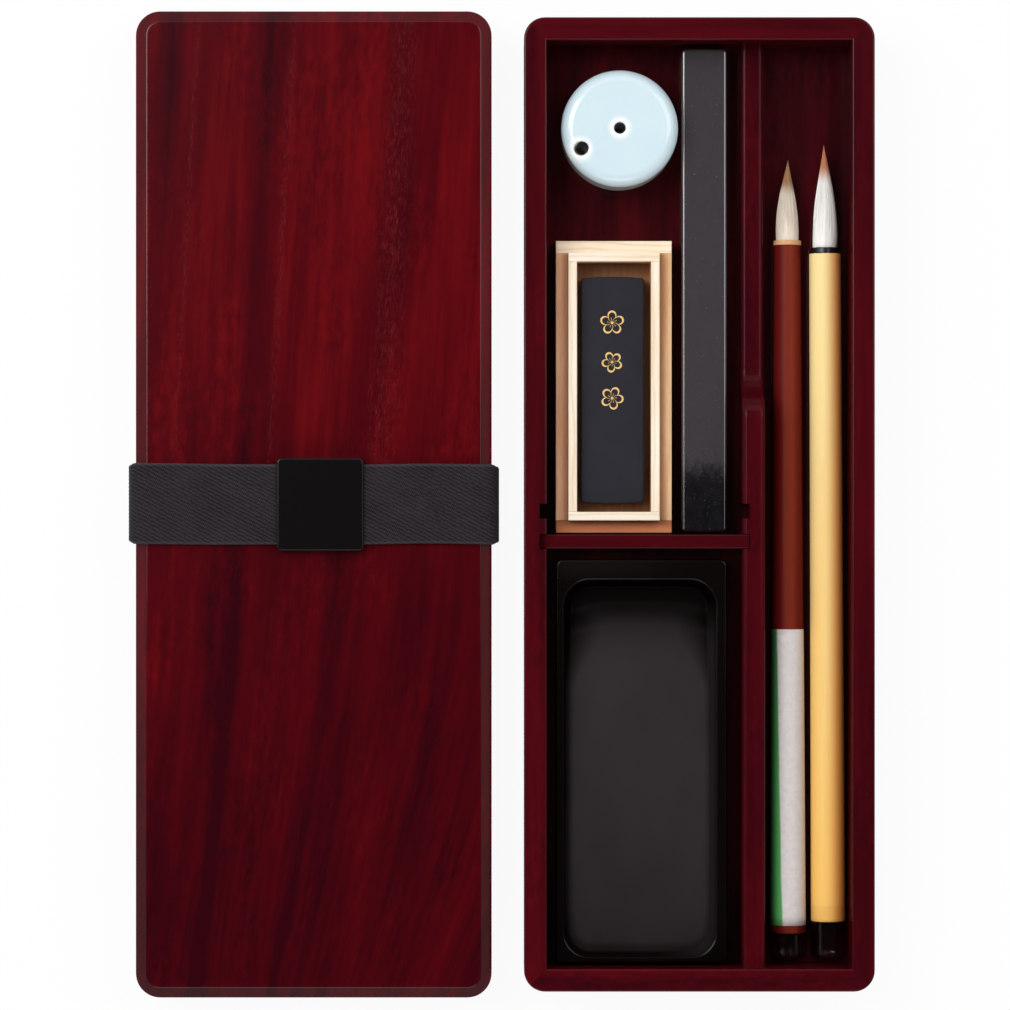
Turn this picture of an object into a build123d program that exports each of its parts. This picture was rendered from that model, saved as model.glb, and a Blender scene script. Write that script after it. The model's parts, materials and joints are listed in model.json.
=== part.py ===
from build123d import *
from math import cos, pi, radians, sin
import os

# A calligraphy set box, in millimetres: a lacquered tray with the writing tools in it, and its
# lid lying beside it with the elastic band still round the lid.
# The origin is the middle of the tray's underside. +X is the side of the brushes, +Y the back end.

overcut = 1.0                   # how far a cut runs past what it cuts

# Boards of the tray
wall = 7.0                      # side and end boards
floor_board = 4.0
floor_rebate = 3.5              # how far the floor board runs into the side and end boards
tray_height = 27.0
corner_radius = 6.5             # upright outer corners
rim_easing = 0.6                # rounding of the rim's edges
foot_easing = 1.0               # rounding of the edges that the tray stands on

# Dividers
long_divider_width = 7.0
divider_drop = 3.5              # the dividers stay this far below the rim, so the lid's lip clears them
scoop_height = 10.0             # the low stretch of the long divider, above the floor board
scoop_length = 101.0            # the low stretch, from the back board
scoop_run = 15.0                # length of the slope between the high and the low stretch
divider_easing = 1.5
cross_divider_width = 4.3
groove_depth = 2.2
groove_play = 0.15              # beside the cross divider, on each face
groove_end_play = 0.3           # behind each of its ends
groove_pitch = 9.4              # from the groove in use to the spare one behind it
cross_divider_easing = 0.4

# Inkstone
inkstone_width = 53.0
inkstone_length = 125.0
inkstone_height = 15.0
inkstone_corner = 2.0
inkstone_easing = 0.5
inkstone_front_play = 1.0
inkstone_back_play = 3.4
inkstone_left_play = 2.9
inkstone_right_play = 4.6
well_side_rim = 2.8
well_back_rim = 6.3
well_front_rim = 1.6
well_corner = 8.5
well_draft = 3.2                # how far the wall of the well leans in, from the rim to the sea
land_front_depth = 2.6          # depth of the grinding face at its front end
land_back_depth = 4.0           # depth of the grinding face where the sea begins
sea_depth = 8.0
sea_length = 9.0                # from the back wall of the well to the foot of the slope
sea_slope = 5.5                 # length of the slope down into the sea

# Paulownia box of the ink stick
ink_box_left_play = 2.9
ink_box_front_play = 0.45
ink_box_base = 3.0
ink_box_board_height = 9.0      # outer boards, above the base
ink_box_board = 3.85            # thickness of the outer boards
ink_box_lip = 2.7               # thickness of the lining that its cover slides over
ink_box_lip_rise = 4.0          # the lining above the outer boards
ink_box_easing = 0.3

# Ink stick
ink_stick_width = 19.6
ink_stick_length = 70.6
ink_stick_height = 9.0
ink_stick_left_play = 1.3
ink_stick_right_play = 2.0
ink_stick_front_play = 2.4
ink_stick_back_play = 4.5
ink_stick_arch = 0.5            # how far the middle of each end stands out
ink_stick_corner = 0.9
ink_stick_easing = 0.6

# Paperweight
paperweight_width = 14.0
paperweight_length = 150.0
paperweight_height = 12.0
paperweight_right_play = 4.5
paperweight_front_play = 0.7
paperweight_back_play = 1.6
paperweight_gap = 3.1           # to the ink box
paperweight_arch = 0.15         # how far the middle of each end stands out
paperweight_corner = 1.0
paperweight_easing = 0.9

# Water dropper
dropper_diameter = 36.2
dropper_height = 20.0
dropper_wall = 3.0
dropper_shoulder = 4.0          # radius of its upper edge
dropper_foot = 2.5              # radius of its lower edge
dropper_left_play = 4.5
dropper_gap = 1.3               # to the paperweight
dropper_ink_box_gap = 16.35
dropper_back_play = 8.7
air_hole_diameter = 3.6
spout_diameter = 4.3
spout_inset = 4.2               # from the side of the dropper to the middle of the spout
spout_direction = 208.0         # degrees from +X
spout_tilt = 25.0               # degrees from upright
mouth_easing = 0.6              # rounding of the edges of the air hole and of the spout

# Brushes: the brown one lies beside the long divider, the bamboo one beside the right board
cap_front_play = 0.4
cap_floor_play = 0.4            # under the closed end of a cap
cap_wall = 0.4
cap_end_wall = 0.8
cap_end_rounding = 3.0
cap_fit = 0.05                  # between a cap and what it slides over, on the radius
cap_overlap = 5.0               # how far a cap covers the tail of its brush
cap_gap = 0.7                   # between the two caps
brush_head_play = 0.5           # under the head end of a handle
tuft_root_length = 6.0
tuft_root_diameter = 5.6
tuft_root_play = 0.05
tuft_tip_diameter = 0.3
tuft_stations = 5               # number of places that a tuft's outline runs through

brown_cap_side_play = 1.56
brown_tail_diameter = 11.2
brown_head_diameter = 8.4
brown_handle_length = 214.2
brown_cap_hollow = 8.4          # room left in the cap behind the handle
brown_ferrule_rise = 0.1        # the ring above the handle's surface
brown_ferrule_length = 1.5
brown_ferrule_rim = 0.75        # the ring's end, left bare round the tuft
brown_tuft_length = 25.6
label_thickness = 0.12
label_tail_gap = 2.6
label_length = 91.9

bamboo_cap_side_play = 0.3
bamboo_head_shift = 0.95        # the head lies this much nearer the brown brush than the tail
bamboo_tail_diameter = 10.7
bamboo_head_diameter = 9.9
bamboo_handle_length = 207.9
bamboo_cap_hollow = 12.0
bamboo_ferrule_sink = 0.4       # the ring below the handle's surface
bamboo_ferrule_length = 1.9
bamboo_ferrule_rim = 0.7        # the ring's end, left bare round the tuft
bamboo_tuft_length = 32.3
handle_easing = 0.5
ferrule_easing = 0.25
bamboo_head_room = 30.7         # free length in front of the longer brush, to slide it from its cap

# Lid
lid_gap = 10.0                  # between the lid and the tray as they lie
lid_side_overhang = 1.0         # the lid beyond the tray, on each long side
lid_end_overhang = 2.5          # the lid beyond the tray, at each end
lid_panel = 5.0                 # thickness of the top panel
lid_board_height = 13.0
lid_bevel_width = 3.4
lid_bevel_drop = 2.0
lid_bevel_rounding = 1.0
lid_lip = 2.0                   # thickness of the lip's strips
lid_lip_drop = 2.5              # the lip below the lid's boards
lid_lip_play = 0.3              # between the lip and the inside of the tray

# Elastic band and its clasp
band_width = 25.0
band_thickness = 1.6
band_side_gap = 0.7             # beside the lid
band_top_gap = 0.4              # over the lid
band_under_gap = 0.3            # under the lid's lip
band_turn_radius = 3.0          # inner radius where the band turns
band_ramp = 4.0                 # the band rises to the clasp over this length
band_join_gap = 3.0             # between the ends of the band, inside the clasp
clasp_length = 26.7             # along the band
clasp_side = 1.7                # beside the band
clasp_shift = 2.2               # from the middle of the lid, towards the tray
clasp_base = 0.8
clasp_roof = 1.2
clasp_fit = 0.05                # round the band
clasp_lid_gap = 0.15
clasp_corner = 1.5
clasp_easing = 0.5

# The ink box is as large as its stick and the hollow round it
ink_box_wall = ink_box_board + ink_box_lip
ink_box_width = 2 * ink_box_wall + ink_stick_left_play + ink_stick_width + ink_stick_right_play
ink_box_length = 2 * ink_box_wall + ink_stick_front_play + ink_stick_length + ink_stick_back_play

# The bays of the tray are as large as their fullest row
left_bay = max(
    inkstone_left_play + inkstone_width + inkstone_right_play,
    ink_box_left_play + ink_box_width + paperweight_gap + paperweight_width + paperweight_right_play,
    dropper_left_play + dropper_diameter + dropper_gap + paperweight_width + paperweight_right_play,
)
brown_cap_bore = brown_tail_diameter + 2 * (label_thickness + cap_fit)
brown_cap_diameter = brown_cap_bore + 2 * cap_wall
bamboo_cap_bore = bamboo_tail_diameter + 2 * cap_fit
bamboo_cap_diameter = bamboo_cap_bore + 2 * cap_wall
brown_ferrule_diameter = brown_head_diameter + 2 * brown_ferrule_rise
bamboo_ferrule_diameter = bamboo_head_diameter - 2 * bamboo_ferrule_sink
brush_bay = (
    brown_cap_side_play + brown_cap_diameter + cap_gap + bamboo_cap_diameter + bamboo_cap_side_play
)
inkstone_bay = inkstone_front_play + inkstone_length + inkstone_back_play
back_bay = max(
    paperweight_front_play + paperweight_length + paperweight_back_play,
    ink_box_front_play + ink_box_length + dropper_ink_box_gap + dropper_diameter + dropper_back_play,
)
bamboo_length = (
    cap_end_wall + bamboo_cap_hollow + bamboo_handle_length + bamboo_ferrule_length + bamboo_tuft_length
)
inner_width = left_bay + long_divider_width + brush_bay
inner_length = max(
    inkstone_bay + cross_divider_width + back_bay,
    cap_front_play + bamboo_length + bamboo_head_room,
)

# Faces of the tray
inner_x = inner_width / 2
inner_y = inner_length / 2
outer_x = inner_x + wall
outer_y = inner_y + wall
divider_left = left_bay - inner_x
divider_right = divider_left + long_divider_width
divider_top = tray_height - divider_drop
scoop_top = floor_board + scoop_height
cross_divider_front = inkstone_bay - inner_y
cross_divider_back = cross_divider_front + cross_divider_width
groove_y = cross_divider_front + cross_divider_width / 2
groove_places = (groove_y, groove_y + groove_pitch)

# Faces of the lid, as it lies on the lower run of its band
lid_half_width = outer_x + lid_side_overhang
lid_half_length = outer_y + lid_end_overhang
lid_corner = corner_radius + lid_side_overhang
lip_x = inner_x - lid_lip_play
lip_y = inner_y - lid_lip_play
lid_x = -(outer_x + lid_gap + lid_half_width)
lip_bottom = band_thickness + band_under_gap
lid_bottom = lip_bottom + lid_lip_drop
panel_bottom = lid_bottom + lid_board_height
lid_top = panel_bottom + lid_panel

board_sides = {"left": (-1, 0), "right": (1, 0), "back": (0, 1), "front": (0, -1)}


def write(piece, node):
    """Label a finished piece and write it as the STEP file of its own node."""
    piece.part.label = node
    export_step(piece.part, f"parts/{node}.step")


def mitred_plan(side, outer, inner):
    """Corners of one board of a frame in plan, from the outer to the inner rectangle's half sizes."""
    sign_x, sign_y = board_sides[side]
    if sign_x:
        return [(sign_x * x, turn * y) for turn in (-1, 1) for x, y in (outer, inner)[::turn]]
    return [(turn * x, sign_y * y) for turn in (-1, 1) for x, y in (outer, inner)[::turn]]


def long_edges(face):
    """Edges of a board's upper or lower face along it and round its corners, not its mitres."""
    edges = face.edges()
    return edges.filter_by(Axis.X) + edges.filter_by(Axis.Y) + edges.filter_by(GeomType.CIRCLE)


def groove_plan(face_x):
    """Plan of the cross divider's grooves in a board whose inner face is at face_x."""
    with BuildSketch(Plane.XY.offset(floor_board)) as grooves:
        with Locations(*[(face_x, y) for y in groove_places]):
            Rectangle(2 * groove_depth, cross_divider_width + 2 * groove_play)
    return grooves.sketch


def make_tray_wall(side):
    """One mitred board of the tray, rebated for the floor, its rim and foot edges eased."""
    with BuildPart() as board:
        with BuildSketch(Plane.XY):
            with BuildLine():
                Polyline(*mitred_plan(side, (outer_x, outer_y), (inner_x, inner_y)), close=True)
            make_face()
            RectangleRounded(2 * outer_x, 2 * outer_y, corner_radius, mode=Mode.INTERSECT)
        extrude(amount=tray_height)
        fillet(long_edges(board.faces().sort_by(Axis.Z)[-1]), rim_easing)
        fillet(long_edges(board.faces().sort_by(Axis.Z)[0]), foot_easing)
        with BuildSketch(Plane.XY):
            Rectangle(inner_width + 2 * floor_rebate, inner_length + 2 * floor_rebate)
        extrude(amount=floor_board, mode=Mode.SUBTRACT)
        if side == "left":
            extrude(groove_plan(-inner_x), amount=tray_height, mode=Mode.SUBTRACT)
    write(board, f"tray_wall_{side}")


def make_tray_floor():
    """The floor board, let into the rebates of the four walls."""
    with BuildPart() as board:
        with BuildSketch(Plane.XY):
            Rectangle(inner_width + 2 * floor_rebate, inner_length + 2 * floor_rebate)
        extrude(amount=floor_board)
    write(board, "tray_floor")


def make_long_divider():
    """The fixed divider: high beside the inkstone, then an ogee down to the finger scoop."""
    slope_end = inner_y - scoop_length
    slope_start = slope_end - scoop_run
    slope_middle = ((slope_start + slope_end) / 2, (divider_top + scoop_top) / 2)
    with BuildPart() as divider:
        with BuildSketch(Plane.YZ.offset(divider_left)):
            with BuildLine():
                Polyline((-inner_y, floor_board), (-inner_y, divider_top), (slope_start, divider_top))
                upper = TangentArc((slope_start, divider_top), slope_middle, tangent=(1, 0))
                TangentArc(slope_middle, (slope_end, scoop_top), tangent=upper % 1)
                Polyline((slope_end, scoop_top), (inner_y, scoop_top), (inner_y, floor_board))
                Line((inner_y, floor_board), (-inner_y, floor_board))
            make_face()
        extrude(amount=long_divider_width)
        sides = divider.faces().filter_by(Plane.YZ).edges()
        eased = sides.filter_by(Axis.Z, reverse=True).filter_by_position(Axis.Z, scoop_top, divider_top)
        fillet(eased, divider_easing)
        extrude(groove_plan(divider_left), amount=tray_height, mode=Mode.SUBTRACT)
    write(divider, "long_divider")


def make_cross_divider():
    """The loose divider that stands in one pair of grooves."""
    reach = groove_depth - groove_end_play
    with BuildPart() as divider:
        with BuildSketch(Plane.XY.offset(floor_board)):
            with Locations(((divider_left - inner_x) / 2, groove_y)):
                Rectangle(left_bay + 2 * reach, cross_divider_width)
        extrude(amount=divider_top - floor_board)
        fillet(divider.faces().sort_by(Axis.Z)[-1].edges().filter_by(Axis.X), cross_divider_easing)
    write(divider, "cross_divider")


def make_inkstone():
    """The inkstone: a rimmed well whose grinding face slopes down to the sea at the back."""
    top = floor_board + inkstone_height
    front = inkstone_front_play - inner_y
    back = front + inkstone_length
    left = inkstone_left_play - inner_x
    middle_x = left + inkstone_width / 2
    well_front = front + well_front_rim
    well_back = back - well_back_rim
    well_width = inkstone_width - 2 * well_side_rim
    well_length = well_back - well_front
    well_middle = (middle_x, (well_front + well_back) / 2)
    slope_foot = well_back - sea_length
    slope_head = slope_foot - sea_slope
    with BuildPart() as well:
        with BuildSketch(Plane.XY.offset(top)):
            with Locations(well_middle):
                RectangleRounded(well_width, well_length, well_corner)
        with BuildSketch(Plane.XY.offset(top - sea_depth)):
            with Locations(well_middle):
                RectangleRounded(
                    well_width - 2 * well_draft, well_length - 2 * well_draft, well_corner - well_draft
                )
        loft()
        with BuildSketch(Plane.YZ.offset(left)):
            with BuildLine():
                Polyline((well_back, top - sea_depth), (well_back, top), (well_front, top))
                Line((well_front, top), (well_front, top - land_front_depth))
                Line((well_front, top - land_front_depth), (slope_head, top - land_back_depth))
                Line((slope_head, top - land_back_depth), (slope_foot, top - sea_depth))
                Line((slope_foot, top - sea_depth), (well_back, top - sea_depth))
            make_face()
        extrude(amount=inkstone_width, mode=Mode.INTERSECT)
    with BuildPart() as stone:
        with BuildSketch(Plane.XY.offset(floor_board)):
            with Locations((middle_x, (front + back) / 2)):
                RectangleRounded(inkstone_width, inkstone_length, inkstone_corner)
        extrude(amount=inkstone_height)
        fillet(stone.faces().sort_by(Axis.Z)[-1].edges(), inkstone_easing)
        add(well.part, mode=Mode.SUBTRACT)
    write(stone, "inkstone")


def make_bar(node, corner, size, arch, upright_radius, easing):
    """A bar with rounded corners, arched ends and eased edges, from its lowest left front corner."""
    left, front, bottom = corner
    right = left + size[0]
    back = front + size[1]
    middle = left + size[0] / 2
    with BuildPart() as bar:
        with BuildSketch(Plane.XY.offset(bottom)) as plan:
            with BuildLine():
                Line((left, back - arch), (left, front + arch))
                ThreePointArc((left, front + arch), (middle, front), (right, front + arch))
                Line((right, front + arch), (right, back - arch))
                ThreePointArc((right, back - arch), (middle, back), (left, back - arch))
            make_face()
            fillet(plan.vertices(), upright_radius)
        extrude(amount=size[2])
        fillet(bar.faces().filter_by(Axis.Z).edges(), easing)
    write(bar, node)


def make_board(node, low, high, easing):
    """A plain straight board between two corners, the four edges of its upper face eased."""
    with BuildPart() as board:
        with BuildSketch(Plane.XY.offset(low[2])):
            with Locations(((low[0] + high[0]) / 2, (low[1] + high[1]) / 2)):
                Rectangle(high[0] - low[0], high[1] - low[1])
        extrude(amount=high[2] - low[2])
        if easing:
            fillet(board.faces().sort_by(Axis.Z)[-1].edges(), easing)
    write(board, node)


def ink_box_corner():
    """Left front corner of the ink box, on the floor of the tray."""
    return ink_box_left_play - inner_x, cross_divider_back + ink_box_front_play


def make_frame(node, low, high, thickness, ends_through, easing):
    """Four boards round the rectangle from low to high; the ends or the sides run through."""
    inset_x = 0 if ends_through else thickness
    inset_y = thickness if ends_through else 0
    left, front, bottom = low
    right, back, top = high
    boards = {
        "left": ((left, front + inset_y), (left + thickness, back - inset_y)),
        "right": ((right - thickness, front + inset_y), (right, back - inset_y)),
        "front": ((left + inset_x, front), (right - inset_x, front + thickness)),
        "back": ((left + inset_x, back - thickness), (right - inset_x, back)),
    }
    for side, (near, far) in boards.items():
        make_board(f"{node}_{side}", (*near, bottom), (*far, top), easing)


def make_ink_box():
    """The paulownia box: base, outer boards with their ends run through, and the raised lining."""
    left, front = ink_box_corner()
    right = left + ink_box_width
    back = front + ink_box_length
    base_top = floor_board + ink_box_base
    board_top = base_top + ink_box_board_height
    make_board("ink_box_base", (left, front, floor_board), (right, back, base_top), 0)
    make_frame(
        "ink_box_board", (left, front, base_top), (right, back, board_top), ink_box_board, True,
        ink_box_easing,
    )
    make_frame(
        "ink_box_lip",
        (left + ink_box_board, front + ink_box_board, base_top),
        (right - ink_box_board, back - ink_box_board, board_top + ink_box_lip_rise),
        ink_box_lip, True, ink_box_easing,
    )


def make_ink_stick():
    """The ink stick, lying on the base of its box."""
    left, front = ink_box_corner()
    corner = (
        left + ink_box_wall + ink_stick_left_play,
        front + ink_box_wall + ink_stick_front_play,
        floor_board + ink_box_base,
    )
    size = (ink_stick_width, ink_stick_length, ink_stick_height)
    make_bar("ink_stick", corner, size, ink_stick_arch, ink_stick_corner, ink_stick_easing)


def make_paperweight():
    """The long steel paperweight, beside the long divider."""
    left = divider_left - paperweight_right_play - paperweight_width
    corner = (left, cross_divider_back + paperweight_front_play, floor_board)
    size = (paperweight_width, paperweight_length, paperweight_height)
    make_bar("paperweight", corner, size, paperweight_arch, paperweight_corner, paperweight_easing)


def make_dropper():
    """The hollow water dropper, with an air hole in the middle and a spout at the shoulder."""
    radius = dropper_diameter / 2
    middle_x = dropper_left_play + radius - inner_x
    ink_box_back = ink_box_corner()[1] + ink_box_length
    middle_y = ink_box_back + dropper_ink_box_gap + radius
    top = floor_board + dropper_height
    side = Vector(cos(radians(spout_direction)), sin(radians(spout_direction)), 0)
    spout_axis = Vector(0, 0, cos(radians(spout_tilt))) + side * sin(radians(spout_tilt))
    spout_mouth = Vector(middle_x, middle_y, top) + side * (radius - spout_inset)
    with BuildPart() as dropper:
        with BuildSketch(Plane.XZ.offset(-middle_y)) as section:
            with Locations((middle_x + radius / 2, floor_board + dropper_height / 2)):
                Rectangle(radius, dropper_height)
            fillet(section.vertices().group_by(Axis.X)[-1].sort_by(Axis.Y)[0], dropper_foot)
            fillet(section.vertices().group_by(Axis.X)[-1].sort_by(Axis.Y)[-1], dropper_shoulder)
            with Locations((middle_x + (radius - dropper_wall) / 2, floor_board + dropper_height / 2)):
                Rectangle(radius - dropper_wall, dropper_height - 2 * dropper_wall, mode=Mode.SUBTRACT)
        revolve(axis=Axis((middle_x, middle_y, 0), (0, 0, 1)))
        with BuildSketch(Plane.XY.offset(top)):
            with Locations((middle_x, middle_y)):
                Circle(air_hole_diameter / 2)
        extrude(amount=-dropper_height / 2, mode=Mode.SUBTRACT)
        with BuildSketch(Plane(spout_mouth, z_dir=spout_axis)):
            Circle(spout_diameter / 2)
        extrude(amount=dropper_height / 2, both=True, mode=Mode.SUBTRACT)
        mouths = dropper.edges().filter_by_position(Axis.Z, top, top).sort_by(Edge.length)
        fillet(mouths.filter_by(GeomType.CIRCLE)[:1] + mouths.filter_by(GeomType.ELLIPSE)[:1], mouth_easing)
    write(dropper, "water_dropper")


def brush_plane(tail, head):
    """Plane through a brush: x is level and across it, y runs from its cap's end towards its tip."""
    along = (Vector(*head) - Vector(*tail)).normalized()
    across = along.cross(Vector(0, 0, 1)).normalized()
    return Plane(tail, x_dir=across, z_dir=across.cross(along))


def turned_profile(plane, *corners):
    """Half section of a turned piece of a brush, from its (radius, place along the brush) corners."""
    with BuildSketch(plane) as profile:
        with BuildLine():
            Polyline(*corners, close=True)
        make_face()
    return profile.sketch


def brush_axis(plane):
    """The axis of a brush, which is the y axis of its plane."""
    return Axis(plane.origin, plane.y_dir)


def make_cap(node, plane, diameter, bore, length):
    """A clear cap with a rounded closed end, open towards the brush."""
    with BuildPart() as cap:
        with BuildSketch(plane) as profile:
            Rectangle(diameter / 2, length, align=(Align.MIN, Align.MIN))
            with Locations((0, cap_end_wall)):
                Rectangle(bore / 2, length, align=(Align.MIN, Align.MIN), mode=Mode.SUBTRACT)
            inner_corner = profile.vertices().sort_by_distance((bore / 2, cap_end_wall))[0]
            fillet(inner_corner, cap_end_rounding - cap_wall)
            outer_corner = profile.vertices().sort_by_distance((diameter / 2, 0))[0]
            fillet(outer_corner, cap_end_rounding)
        revolve(axis=brush_axis(plane))
    write(cap, node)


def make_handle(node, plane, tail, tail_diameter, head, head_diameter):
    """A tapered handle from tail to head, with a socket for the root of the tuft."""
    socket = tuft_root_diameter / 2 + tuft_root_play
    socket_end = head - tuft_root_length
    profile = turned_profile(
        plane, (0, tail), (tail_diameter / 2, tail), (head_diameter / 2, head), (socket, head),
        (socket, socket_end), (0, socket_end),
    )
    with BuildPart() as handle:
        revolve(profile, axis=brush_axis(plane))
        fillet(handle.faces().sort_by(Axis.Y)[0].edges(), handle_easing)
    write(handle, node)


def make_ferrule(node, plane, head, base, diameter):
    """The ring between the handle and the tuft, round the tuft's root."""
    bore = tuft_root_diameter / 2 + tuft_root_play
    profile = turned_profile(plane, (bore, head), (diameter / 2, head), (diameter / 2, base), (bore, base))
    with BuildPart() as ferrule:
        revolve(profile, axis=brush_axis(plane))
        fillet(ferrule.edges().filter_by(GeomType.CIRCLE).group_by(SortBy.RADIUS)[-1], ferrule_easing)
    write(ferrule, node)


def make_tuft(node, plane, head, base, length, diameter):
    """The tuft of hair: a root in the socket, then a belly that narrows as a cosine to a fine point."""
    root = tuft_root_diameter / 2
    tip = tuft_tip_diameter / 2
    places = [station / tuft_stations for station in range(tuft_stations)]
    outline = [(cos(place * pi / 2) * diameter / 2, base + place * length) for place in places]
    with BuildPart() as tuft:
        with BuildSketch(plane):
            with BuildLine():
                Polyline((0, base + length), (0, head - tuft_root_length), (root, head - tuft_root_length))
                Polyline((root, head - tuft_root_length), (root, base), outline[0])
                Spline(*outline, (tip, base + length))
                Line((tip, base + length), (0, base + length))
            make_face()
        revolve(axis=brush_axis(plane))
    write(tuft, node)


def make_label(plane, tail, head):
    """The paper label, wrapped once round the brown handle near its tail."""
    taper = (brown_head_diameter - brown_tail_diameter) / 2 / (head - tail)
    low = tail + label_tail_gap
    high = low + label_length
    low_radius = brown_tail_diameter / 2 + taper * label_tail_gap
    high_radius = low_radius + taper * label_length
    profile = turned_profile(
        plane, (low_radius, low), (low_radius + label_thickness, low),
        (high_radius + label_thickness, high), (high_radius, high),
    )
    with BuildPart() as label:
        revolve(profile, axis=brush_axis(plane))
    write(label, "brown_brush_label")


def brown_brush_plane():
    """Plane of the brown brush, from its cap's end on the tray's floor."""
    middle_x = divider_right + brown_cap_side_play + brown_cap_diameter / 2
    tail_y = cap_front_play - inner_y
    head = cap_end_wall + brown_cap_hollow + brown_handle_length
    return brush_plane(
        (middle_x, tail_y, floor_board + cap_floor_play + brown_cap_diameter / 2),
        (middle_x, tail_y + head, floor_board + brush_head_play + brown_head_diameter / 2),
    )


def bamboo_brush_plane():
    """Plane of the bamboo brush, which leans a little towards the brown one."""
    tail_x = inner_x - bamboo_cap_side_play - bamboo_cap_diameter / 2
    tail_y = cap_front_play - inner_y
    head = cap_end_wall + bamboo_cap_hollow + bamboo_handle_length
    return brush_plane(
        (tail_x, tail_y, floor_board + cap_floor_play + bamboo_cap_diameter / 2),
        (
            tail_x - bamboo_head_shift, tail_y + head,
            floor_board + brush_head_play + bamboo_head_diameter / 2,
        ),
    )


def make_brown_brush():
    """The brown lacquered brush with its paper label, its tail in its cap."""
    plane = brown_brush_plane()
    tail = cap_end_wall + brown_cap_hollow
    head = tail + brown_handle_length
    base = head + brown_ferrule_length
    make_cap("brown_brush_cap", plane, brown_cap_diameter, brown_cap_bore, tail + cap_overlap)
    make_handle("brown_brush_handle", plane, tail, brown_tail_diameter, head, brown_head_diameter)
    make_label(plane, tail, head)
    make_ferrule("brown_brush_ferrule", plane, head, base, brown_ferrule_diameter)
    tuft_diameter = brown_ferrule_diameter - 2 * brown_ferrule_rim
    make_tuft("brown_brush_tuft", plane, head, base, brown_tuft_length, tuft_diameter)


def make_bamboo_brush():
    """The bamboo brush, its tail in its cap."""
    plane = bamboo_brush_plane()
    tail = cap_end_wall + bamboo_cap_hollow
    head = tail + bamboo_handle_length
    base = head + bamboo_ferrule_length
    make_cap("bamboo_brush_cap", plane, bamboo_cap_diameter, bamboo_cap_bore, tail + cap_overlap)
    make_handle("bamboo_brush_handle", plane, tail, bamboo_tail_diameter, head, bamboo_head_diameter)
    make_ferrule("bamboo_brush_ferrule", plane, head, base, bamboo_ferrule_diameter)
    tuft_diameter = bamboo_ferrule_diameter - 2 * bamboo_ferrule_rim
    make_tuft("bamboo_brush_tuft", plane, head, base, bamboo_tuft_length, tuft_diameter)


def make_lid_board(side):
    """One mitred board under the lid's panel, outside the lip."""
    with BuildPart() as board:
        with BuildSketch(Plane((lid_x, 0, lid_bottom))):
            with BuildLine():
                Polyline(
                    *mitred_plan(side, (lid_half_width, lid_half_length), (lip_x, lip_y)), close=True
                )
            make_face()
            RectangleRounded(2 * lid_half_width, 2 * lid_half_length, lid_corner, mode=Mode.INTERSECT)
        extrude(amount=lid_board_height)
        fillet(long_edges(board.faces().sort_by(Axis.Z)[0]), rim_easing)
    write(board, f"lid_board_{side}")


def make_lid_panel():
    """The top panel of the lid, its upper edge bevelled all round."""
    with BuildPart() as panel:
        with BuildSketch(Plane((lid_x, 0, panel_bottom))):
            RectangleRounded(2 * lid_half_width, 2 * lid_half_length, lid_corner)
        extrude(amount=lid_panel)
        top = panel.faces().sort_by(Axis.Z)[-1]
        chamfer(top.edges(), lid_bevel_width, lid_bevel_drop, reference=top)
        fillet(panel.faces().sort_by(Axis.Z)[-1].edges(), lid_bevel_rounding)
    write(panel, "lid_panel")


def make_lid_lip():
    """The four strips inside the lid's boards that locate it in the tray."""
    low = (lid_x - lip_x, -lip_y, lip_bottom)
    high = (lid_x + lip_x, lip_y, panel_bottom)
    make_frame("lid_lip", low, high, lid_lip, False, 0)


def band_outline(grow):
    """Sketch across the lid of what the band goes round, larger all round by grow."""
    half = lid_half_width + band_side_gap
    top = lid_top + band_top_gap
    clasp_top = lid_top + clasp_lid_gap + clasp_base + clasp_fit
    left_clasp = clasp_shift - clasp_length / 2
    right_clasp = clasp_shift + clasp_length / 2
    with BuildSketch(Plane((lid_x, 0, 0), x_dir=(1, 0, 0), z_dir=(0, -1, 0))) as outline:
        with BuildLine():
            Polyline(
                (-half, band_thickness), (half, band_thickness), (half, top),
                (right_clasp + band_ramp, top), (right_clasp, clasp_top),
                (left_clasp, clasp_top), (left_clasp - band_ramp, top), (-half, top), close=True,
            )
        make_face()
        turns = outline.vertices().group_by(Axis.X)
        fillet(turns[0] + turns[-1], band_turn_radius)
        if grow:
            offset(amount=grow)
    return outline.sketch


def make_band():
    """The elastic band round the lid, its two ends a little apart inside the clasp."""
    roof = lid_top + clasp_lid_gap + clasp_base + clasp_fit
    with BuildPart() as band:
        extrude(band_outline(band_thickness), amount=band_width / 2, both=True)
        extrude(band_outline(0), amount=band_width / 2, both=True, mode=Mode.SUBTRACT)
        with BuildSketch(Plane.XY.offset(roof - overcut)):
            with Locations((lid_x + clasp_shift, 0)):
                Rectangle(band_join_gap, band_width + 2 * overcut)
        extrude(amount=band_thickness + 2 * overcut, mode=Mode.SUBTRACT)
    write(band, "elastic_band")


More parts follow.
